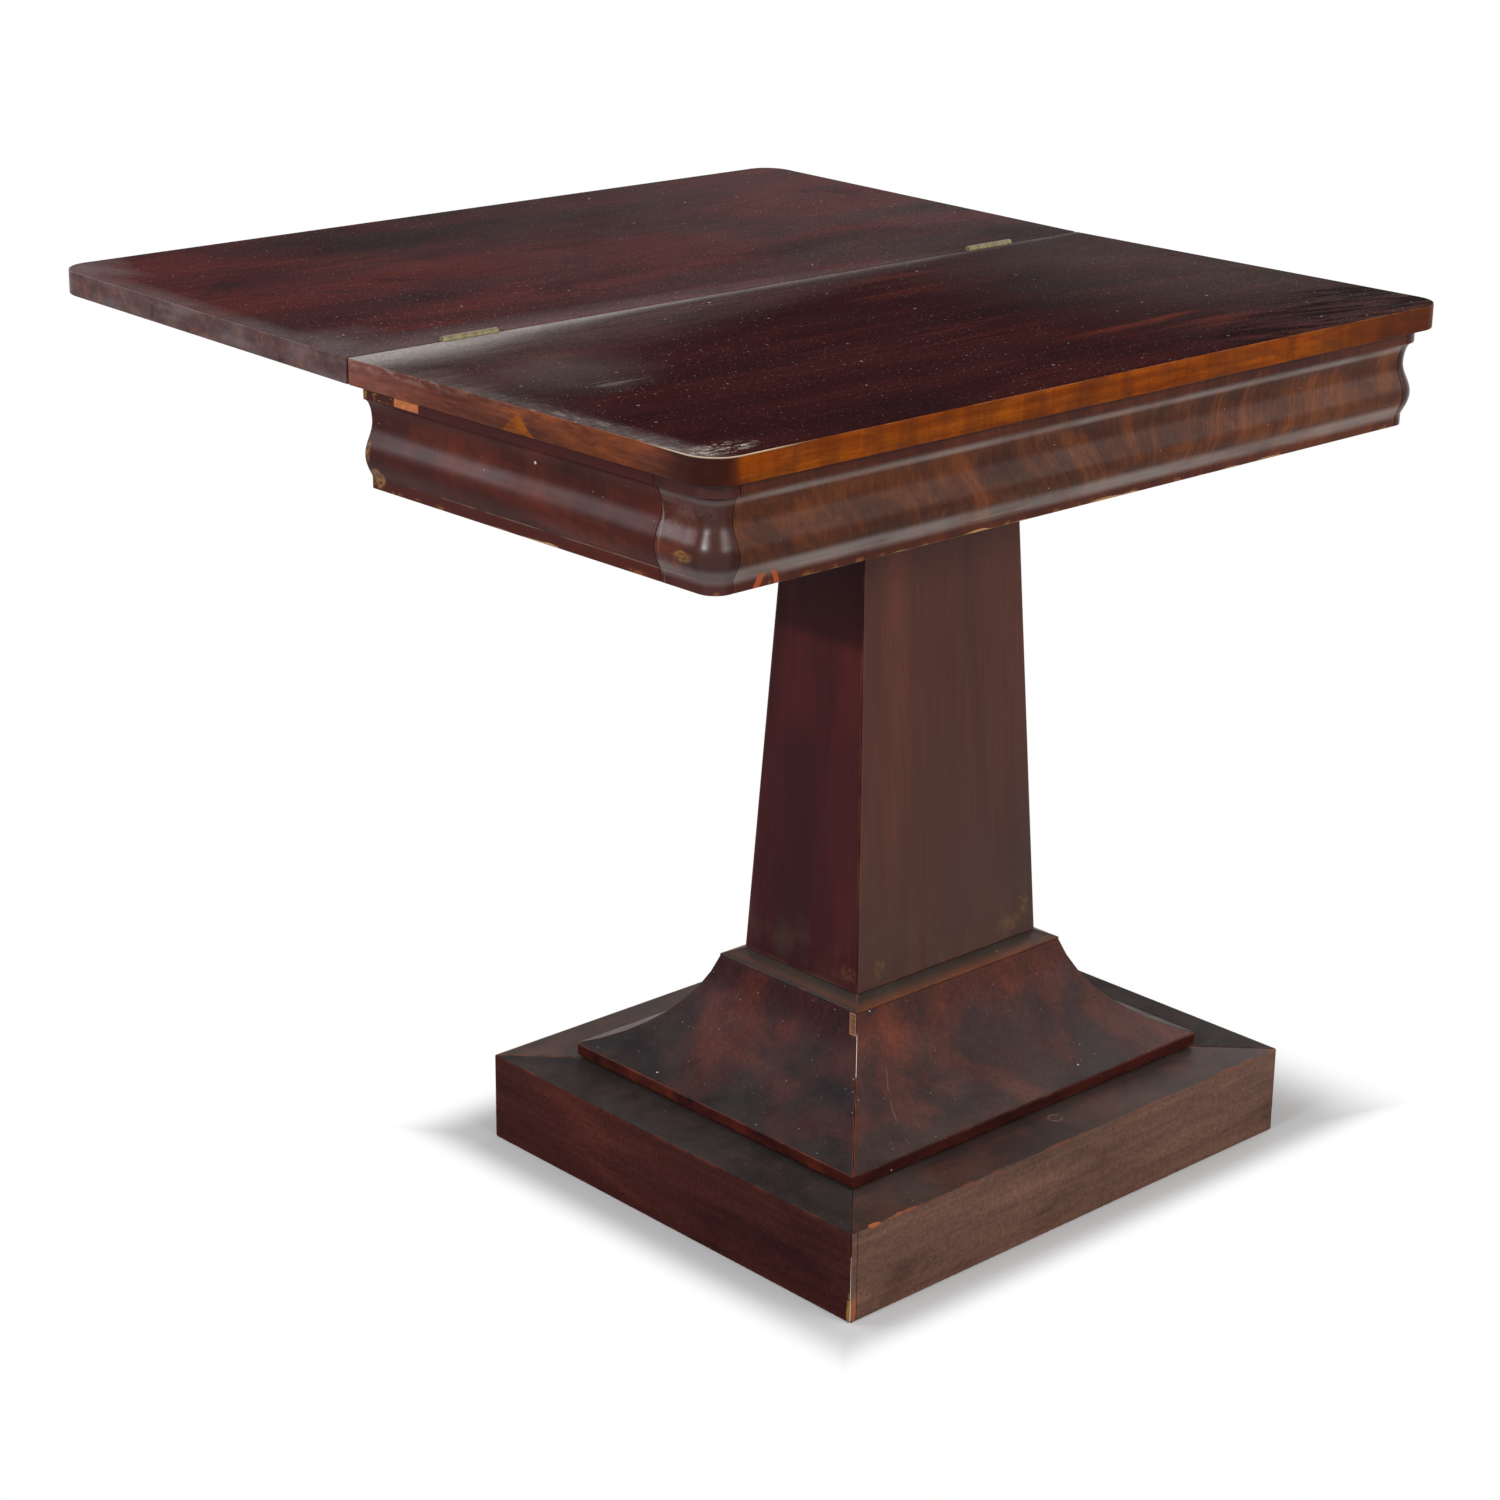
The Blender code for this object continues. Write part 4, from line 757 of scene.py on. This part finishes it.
def plinth_marks(f, kind):
    """The near corner's crack and chips, and in front a ring mark."""
    if kind == "side":
        f.lay(OCHRE, f.blob((-PLINTH_X, -0.2270, 0.010), (0.006, 0.0035, 0.016), 0.7, 0.4, 160),
              0.8)
        return
    f.lay(CRACK, f.near(f.x, -PLINTH_X + 0.0068, 0.00025, 0.0004), f.fit(f.ny, -0.5, -0.8), 0.85)
    chips = f.most(
        f.blob((-0.243, -PLINTH_Y, 0.0800), (0.009, 0.004, 0.0026), 0.5, 0.3, 160),
        f.times(f.blob((-0.215, -PLINTH_Y, 0.0802), (0.022, 0.003, 0.0013), 0.9, 0.4, 160), 0.6),
        f.blob((-0.266, -PLINTH_Y, 0.0100), (0.004, 0.005, 0.012), 0.7, 0.4, 160))
    f.lay((158, 88, 48), chips, 0.85)
    offset = f.vector("SUBTRACT", f.place, (0.012, -0.192, PLINTH_Z))
    radius = f.vector("LENGTH", f.vector("MULTIPLY", offset, (1, 1, 0)))
    f.lay((128, 108, 92), f.near(radius, 0.0060, 0.0004, 0.0008), f.fit(f.nz, 0.6, 0.9),
          f.patches(140, (0.36, 0.56), 3, 0.7), 0.6)


# Hidden wood and metal

def pine_finish(name):
    f = Finish(name)
    stops = [(0.28, (150, 106, 66)), (0.5, (178, 134, 88)), (0.75, (198, 158, 108))]
    f.colour = f.ramp(f.noise((3, 12, 12), 3, 0.5, 0.6), stops)
    rings = f.wave((6, 60, 60), 3.0, 2.0, 0.4, "Y")
    f.lay((132, 84, 46), f.fit(rings, 0.55, 0.95), 0.35)
    f.lay((84, 60, 40), f.patches(6, (0.40, 0.75), 5, 0.6, 0.4), 0.55)
    saw = f.wave((30, 260, 260), 1.0, 1.0, 1.0, "DIAGONAL")
    return f.close(0.78, f.plus(f.times(saw, 0.5), f.noise((20, 400, 400), 3)), 0.00015, 0.3)


def beech_finish(name):
    f = Finish(name)
    f.colour = f.ramp(f.noise((60, 60, 12), 3), [(0.3, (170, 128, 88)), (0.7, (196, 156, 112))])
    rays = f.patches((500, 500, 90), (0.55, 0.65), 2, 0.5)
    f.lay((124, 84, 52), rays, 0.4)
    return f.close(0.6, rays, 0.00005, 0.35)


def metal_finish(name, stops, pitted, metallic):
    f = Finish(name)
    cloud = f.noise(160, 4, 0.6, 0.4)
    f.colour = f.ramp(cloud, stops)
    pits = f.patches(700, (0.50, 0.66), 3)
    f.lay(pitted, pits, 0.5)
    height = f.plus(pits, f.times(f.noise((60, 1400, 300), 3), 0.6))
    return f.close(f.fit(cloud, 0.3, 0.7, 0.42, 0.62), height, 0.00006, 0.5, metallic)


BRASS = [(0.32, (96, 86, 60)), (0.52, (124, 112, 80)), (0.74, (150, 138, 104))]
IRON = [(0.32, (44, 36, 32)), (0.55, (74, 68, 64)), (0.75, (98, 82, 68))]
MATERIALS = {
    "top_fixed": top_finish("fixed_leaf_veneer", False),
    "top_flap": top_finish("flap_leaf_veneer", True),
    "edge_fixed": leaf_edge_finish("fixed_leaf_edge"),
    "edge_flap": flap_edge_finish("flap_leaf_edge"),
    "under_fixed": leaf_underside_finish("fixed_leaf_underside"),
    "under_flap": flap_outside_finish("flap_leaf_outside"),
    "apron_front": apron_finish("apron_flame_veneer", "front"),
    "apron_side": apron_finish("apron_side_veneer", "side"),
    "apron_corner": apron_finish("apron_corner_veneer", "corner"),
    "pillar_front": pillar_finish("pillar_front_veneer", True),
    "pillar_side": pillar_finish("pillar_side_veneer", False),
    "cove_front": cove_finish("cove_front_veneer", True),
    "cove_side": cove_finish("cove_side_veneer", False),
    "cap": base_finish("cap_board_wood", "cap"),
    "board": base_finish("base_board_wood", "board"),
    "plinth_front": base_finish("plinth_front_veneer", "front"),
    "plinth_side": base_finish("plinth_side_veneer", "side"),
    "pine": pine_finish("aged_pine"),
    "beech": beech_finish("turned_beech"),
    "brass": metal_finish("aged_brass", BRASS, (58, 50, 34), 0.45),
    "iron": metal_finish("oxidised_iron", IRON, (60, 38, 26), 0.8),
}


# Pieces

def smooth_groups(body, skipped):
    """Sets of faces that join smoothly, apart from the skipped ones."""
    waiting = {face for face in body.faces if face not in skipped}
    groups = []
    for first in body.faces[:]:
        if first not in waiting:
            continue
        waiting.discard(first)
        group, unseen = [first], [first]
        while unseen:
            for edge in unseen.pop().edges:
                if len(edge.link_faces) != 2 or edge.calc_face_angle(0) > CREASE:
                    continue
                for other in edge.link_faces:
                    if other in waiting:
                        waiting.discard(other)
                        group.append(other)
                        unseen.append(other)
        groups.append(group)
    return groups


def is_wide(group, least):
    """Whether a set of faces is wide enough to take a border inside it."""
    area = sum(face.calc_area() for face in group)
    inside = set(group)
    rim = sum(edge.calc_length() for face in group for edge in face.edges
              if sum(other in inside for other in edge.link_faces) == 1)
    return rim > 0 and 2 * area / rim > least


def piece_of(name, body, finishes=()):
    """A new object from a bmesh, which is freed."""
    mesh = bpy.data.meshes.new(name)
    body.to_mesh(mesh)
    body.free()
    for finish in finishes:
        mesh.materials.append(MATERIALS[finish])
    piece = bpy.data.objects.new(name, mesh)
    bpy.context.scene.collection.objects.link(piece)
    return piece


def settle(piece, node):
    """Gives a piece its CAD node's body and hides the node."""
    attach(piece, BODY_OF[node])
    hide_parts(node)


def ease(body, bevel, border):
    """Rounds the convex edges, marks them, and lays a border inside the wide faces beside them."""
    sharp = [edge for edge in body.edges if len(edge.link_faces) == 2 and edge.is_convex
             and edge.calc_face_angle(0) > CREASE]
    eased = set(bmesh.ops.bevel(body, geom=sharp, offset=bevel, segments=2, profile=0.5,
                                affect="EDGES", clamp_overlap=True)["faces"])
    level = body.verts.layers.float.new(ARRIS)
    if border:
        narrow = {face for face in body.faces
                  if face.calc_area() < STRIP * bevel * face.calc_perimeter()}
        for group in smooth_groups(body, eased | narrow):
            if is_wide(group, 3 * border):
                bmesh.ops.inset_region(body, faces=group, thickness=border, depth=0,
                                       use_boundary=True, use_even_offset=True)
    for face in eased:
        if face.is_valid:
            for vert in face.verts:
                vert[level] = 1.0


def dress(node, finishes, bevel, border, cuts=(), wear=None, paint=None):
    """A piece in a CAD node's place and shape, with eased arrises and room for wear at them."""
    body = bmesh.new()
    body.from_mesh(NODES[node].data)
    bmesh.ops.remove_doubles(body, verts=body.verts[:], dist=WELD)
    bmesh.ops.dissolve_limit(body, angle_limit=COPLANAR, verts=body.verts[:],
                             edges=body.edges[:])
    bmesh.ops.recalc_face_normals(body, faces=body.faces[:])
    ease(body, bevel, border)
    for place, facing in cuts:
        whole = body.verts[:] + body.edges[:] + body.faces[:]
        bmesh.ops.bisect_plane(body, geom=whole, dist=WELD / 4, plane_co=place, plane_no=facing)
    if wear:
        body.normal_update()
        moved = [(vert, wear(vert.co, vert.normal)) for vert in body.verts]
        for vert, place in moved:
            vert.co = place
    for edge in body.edges:
        edge.smooth = len(edge.link_faces) == 2 and edge.calc_face_angle(0) < SHARP
    for face in body.faces:
        face.smooth = True
        face.material_index = paint(face.calc_center_median(), face.normal) if paint else 0
    piece = piece_of(node + "_aged", body, finishes)
    even = piece.modifiers.new("even normals", "WEIGHTED_NORMAL")
    even.mode = "FACE_AREA"
    even.weight = 60
    even.keep_sharp = True
    settle(piece, node)


def leaf_paint(rise):
    """Top veneer, edge or underside; recesses in the top show the edge wood."""
    def paint(place, facing):
        top = (place.y - JOINT_Y) * rise + TOP_Z
        if facing.z > 0.6 and place.z > top - 0.0012:
            return 0
        return 2 if facing.z < -0.6 else 1
    return paint


def apron_paint(place, facing):
    """The moulded face is veneered; the rail's inside, top and bottom are bare wood."""
    skin, low, high = 0.0125, FRAME_Z + 0.0015, FRAME_Z + 0.0845
    outside = place.y < FRAME_Y + skin or abs(place.x) > FRAME_X - skin
    flat = abs(facing.z) > 0.75 and not low < place.z < high
    return 0 if outside and not flat else 1


def apron_wear(place, facing):
    """Slight hollows in the old veneer, and small losses along the lower arris."""
    skin, hollow, arris_height = 0.012, 0.00022, 0.0016
    moved = place.copy()
    if facing.xy.length > 0.5 and (place.y < FRAME_Y + skin or abs(place.x) > FRAME_X - skin):
        ripple = 0.5 + 0.5 * noise.noise(place * 15)
        moved -= facing * hollow * ripple
        if place.z < FRAME_Z + arris_height:
            loss = max(0.0, noise.noise(place * 42) - 0.18)
            small = max(0.0, noise.noise(place * 120) - 0.25)
            moved.z += 0.0030 * loss + 0.0012 * small
            moved -= Vector((facing.x, facing.y, 0)) * (0.0016 * loss + 0.0006 * small)
    return moved


def stations(axis, low, high, step):
    """Planes across an axis at even steps."""
    count = int((high - low) / step)
    facing = Vector((1, 0, 0)) if axis == "X" else Vector((0, 1, 0))
    return [(facing * (low + (high - low) * (index + 0.5) / count), facing)
            for index in range(count)]


def build_leaves():
    for leaf, rise in (("fixed", 0.0), ("flap", math.sin(FLAP_RISE))):
        dress(f"{leaf}_leaf", [f"top_{leaf}", f"edge_{leaf}", f"under_{leaf}"],
              bevel=0.0005, border=0.002, paint=leaf_paint(rise))


def build_frame():
    """The moulded pieces are cut at even stations, so that their wear has vertices to move."""
    def moulded(node, finish, bevel, border, *cuts):
        dress(node, [finish, "pine"], bevel, border, stations(*cuts), apron_wear, apron_paint)
    moulded("frame_front_rail", "apron_front", 0.0005, 0.0016, "X", -0.39, 0.39, 0.006)
    for side in ("left", "right"):
        moulded(f"frame_{side}_rail", "apron_side", 0.0005, 0.0016, "Y", -0.155, 0.192, 0.006)
        moulded(f"frame_corner_{side}", "apron_corner", 0.0004, 0.0, "Y", -0.196, -0.158, 0.004)
    dress("frame_back_rail", ["pine"], bevel=0.0008, border=0.002)


def build_stand():
    """The pillar, the coves and the plinth, each with the same finish in front and at the back."""
    sides = {"front": "front", "back": "front", "left": "side", "right": "side"}
    for side, kind in sides.items():
        dress(f"column_{side}_board", [f"pillar_{kind}"], bevel=0.0007, border=0.002)
    for side, kind in sides.items():
        dress(f"cove_{side}_board", [f"cove_{kind}"], bevel=0.0004, border=0.002)
        dress(f"plinth_{side}_rail", [f"plinth_{kind}"], bevel=0.0009, border=0.0025)
    dress("cove_cap_board", ["cap"], bevel=0.0005, border=0.0015)
    dress("cove_base_board", ["board"], bevel=0.0004, border=0.0015)


def build_inside():
    for node, slot in SLOT_OF.items():
        if slot == "pine" and node != "frame_back_rail":
            dress(node, ["pine"], bevel=0.0008, border=0.0)


def build_metal():
    """The slotted screws; other metal and the beech dowel keep their CAD shape."""
    for node, slot in SLOT_OF.items():
        if "plate_screw" in node:
            slotted_screw(node)
        elif slot in ("brass", "iron", "beech"):
            for holder in NODES[node].material_slots:
                holder.material = MATERIALS[slot]


def slotted_screw(node):
    """The hinge screw with its head's slot cut across it, each at its own turn."""
    low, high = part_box(node)
    body = bmesh.new()
    body.from_mesh(NODES[node].data)
    piece = piece_of(node + "_slotted", body, ["iron"])
    blade = bmesh.new()
    bmesh.ops.create_cube(blade, size=1.0)
    length, width, depth = 0.0090, 0.0006, 0.0010
    bmesh.ops.scale(blade, vec=(length, width, depth), verts=blade.verts)
    pick = sum(ord(letter) * (index + 3) for index, letter in enumerate(node)) % 4
    turn = Euler((0, 0, math.radians(25 + 47 * pick)))
    bmesh.ops.rotate(blade, matrix=turn.to_matrix(), verts=blade.verts)
    middle = (low + high) / 2
    bmesh.ops.translate(blade, vec=(middle.x, middle.y, high.z), verts=blade.verts)
    tool = piece_of("blade", blade)
    cutting = piece.modifiers.new("slot", "BOOLEAN")
    cutting.operation = "DIFFERENCE"
    cutting.solver = "EXACT"
    cutting.object = tool
    bpy.context.view_layer.update()
    graph = bpy.context.evaluated_depsgraph_get()
    cut_mesh = bpy.data.meshes.new_from_object(piece.evaluated_get(graph))
    piece.modifiers.clear()
    piece.data = cut_mesh
    bpy.data.objects.remove(tool)
    settle(piece, node)


# Studio

def build_floor():
    """White to rays that see it, grey to diffuse light; the shadow shows near the plinth.

    It is clear from beneath and under the plinth.
    """
    mesh = bpy.data.meshes.new("studio_floor")
    far, low = 60.0, -0.0004
    mesh.from_pydata([(-far, -far, low), (far, -far, low), (far, far, low), (-far, far, low)],
                     [], [(0, 1, 2, 3)])
    floor = bpy.data.objects.new("studio_floor", mesh)
    bpy.context.scene.collection.objects.link(floor)
    f = Finish("white_floor")
    seen = f.seen()
    reaches = ((f.x, PLINTH_X, 0.152), (f.x, -PLINTH_X, -0.060), (f.y, -PLINTH_Y, -0.052),
               (f.y, PLINTH_Y, 0.080))
    away = f.most(*[f.calc("DIVIDE", f.minus(value, edge), reach)
                    for value, edge, reach in reaches])
    paint, glow = f.add("ShaderNodeBsdfDiffuse"), f.add("ShaderNodeEmission")
    f.feed(paint.inputs["Color"], f.mix(seen, FLOOR_GREY, FLOOR_WHITE))
    f.made(glow, WHITE, 1.0)
    above = f.made(f.add("ShaderNodeMixShader"), f.times(f.fit(away, *FLOOR_FADE), seen),
                   paint.outputs[0], glow.outputs[0])
    outside = f.most(f.minus(f.size(f.x), PLINTH_X), f.minus(f.size(f.y), PLINTH_Y))
    hidden = f.most(f.add("ShaderNodeNewGeometry").outputs["Backfacing"],
                    f.calc("LESS_THAN", outside, -0.003))
    clear = f.add("ShaderNodeBsdfTransparent").outputs[0]
    mesh.materials.append(f.output(f.made(f.add("ShaderNodeMixShader"), hidden, above, clear)))


def build_world():
    """White to rays that see it; a dim studio with a pale ceiling to diffuse light."""
    world = bpy.data.worlds.new("studio")
    bpy.context.scene.world = world
    tree = Shader(world)
    up = tree.split(tree.add("ShaderNodeTexCoord").outputs["Generated"])[2]
    dim = tree.ramp(tree.fit(up, -1, 1, smooth=False),
                    [(height, (level, level, level * 1.02, 1)) for height, level in WORLD_LEVELS],
                    False)
    background = tree.add("ShaderNodeBackground")
    tree.feed(background.inputs["Color"], tree.mix(tree.seen(), dim, WHITE))
    tree.feed(tree.add("ShaderNodeOutputWorld").inputs[0], background.outputs[0])


def build_lights():
    for name, place, aim, size, power, colour in LAMPS:
        data = bpy.data.lights.new(name, "AREA")
        data.shape = "RECTANGLE"
        data.size, data.size_y = size
        data.energy = power
        data.color = colour
        lamp = bpy.data.objects.new(name, data)
        lamp.location = place
        lamp.rotation_euler = (Vector(aim) - Vector(place)).to_track_quat("-Z", "Y").to_euler()
        lamp.visible_camera = False
        bpy.context.scene.collection.objects.link(lamp)


def build_camera():
    data = bpy.data.cameras.new("camera")
    data.sensor_fit = "HORIZONTAL"
    data.sensor_width = 36.0
    data.lens = CAMERA_LENS
    data.clip_start, data.clip_end = 0.05, 200.0
    camera = bpy.data.objects.new("camera", data)
    camera.matrix_world = (Matrix.Translation(CAMERA_PLACE)
                           @ Matrix.Rotation(CAMERA_TURN, 4, "Z")
                           @ Matrix.Rotation(math.radians(90) + CAMERA_TILT, 4, "X")
                           @ Matrix.Rotation(CAMERA_ROLL, 4, "Z"))
    bpy.context.scene.collection.objects.link(camera)
    bpy.context.scene.camera = camera


bpy.context.scene.view_settings.view_transform = "Standard"
build_camera()
build_floor()
build_world()
build_lights()
build_leaves()
build_frame()
build_stand()
build_inside()
build_metal()
bpy.context.view_layer.update()
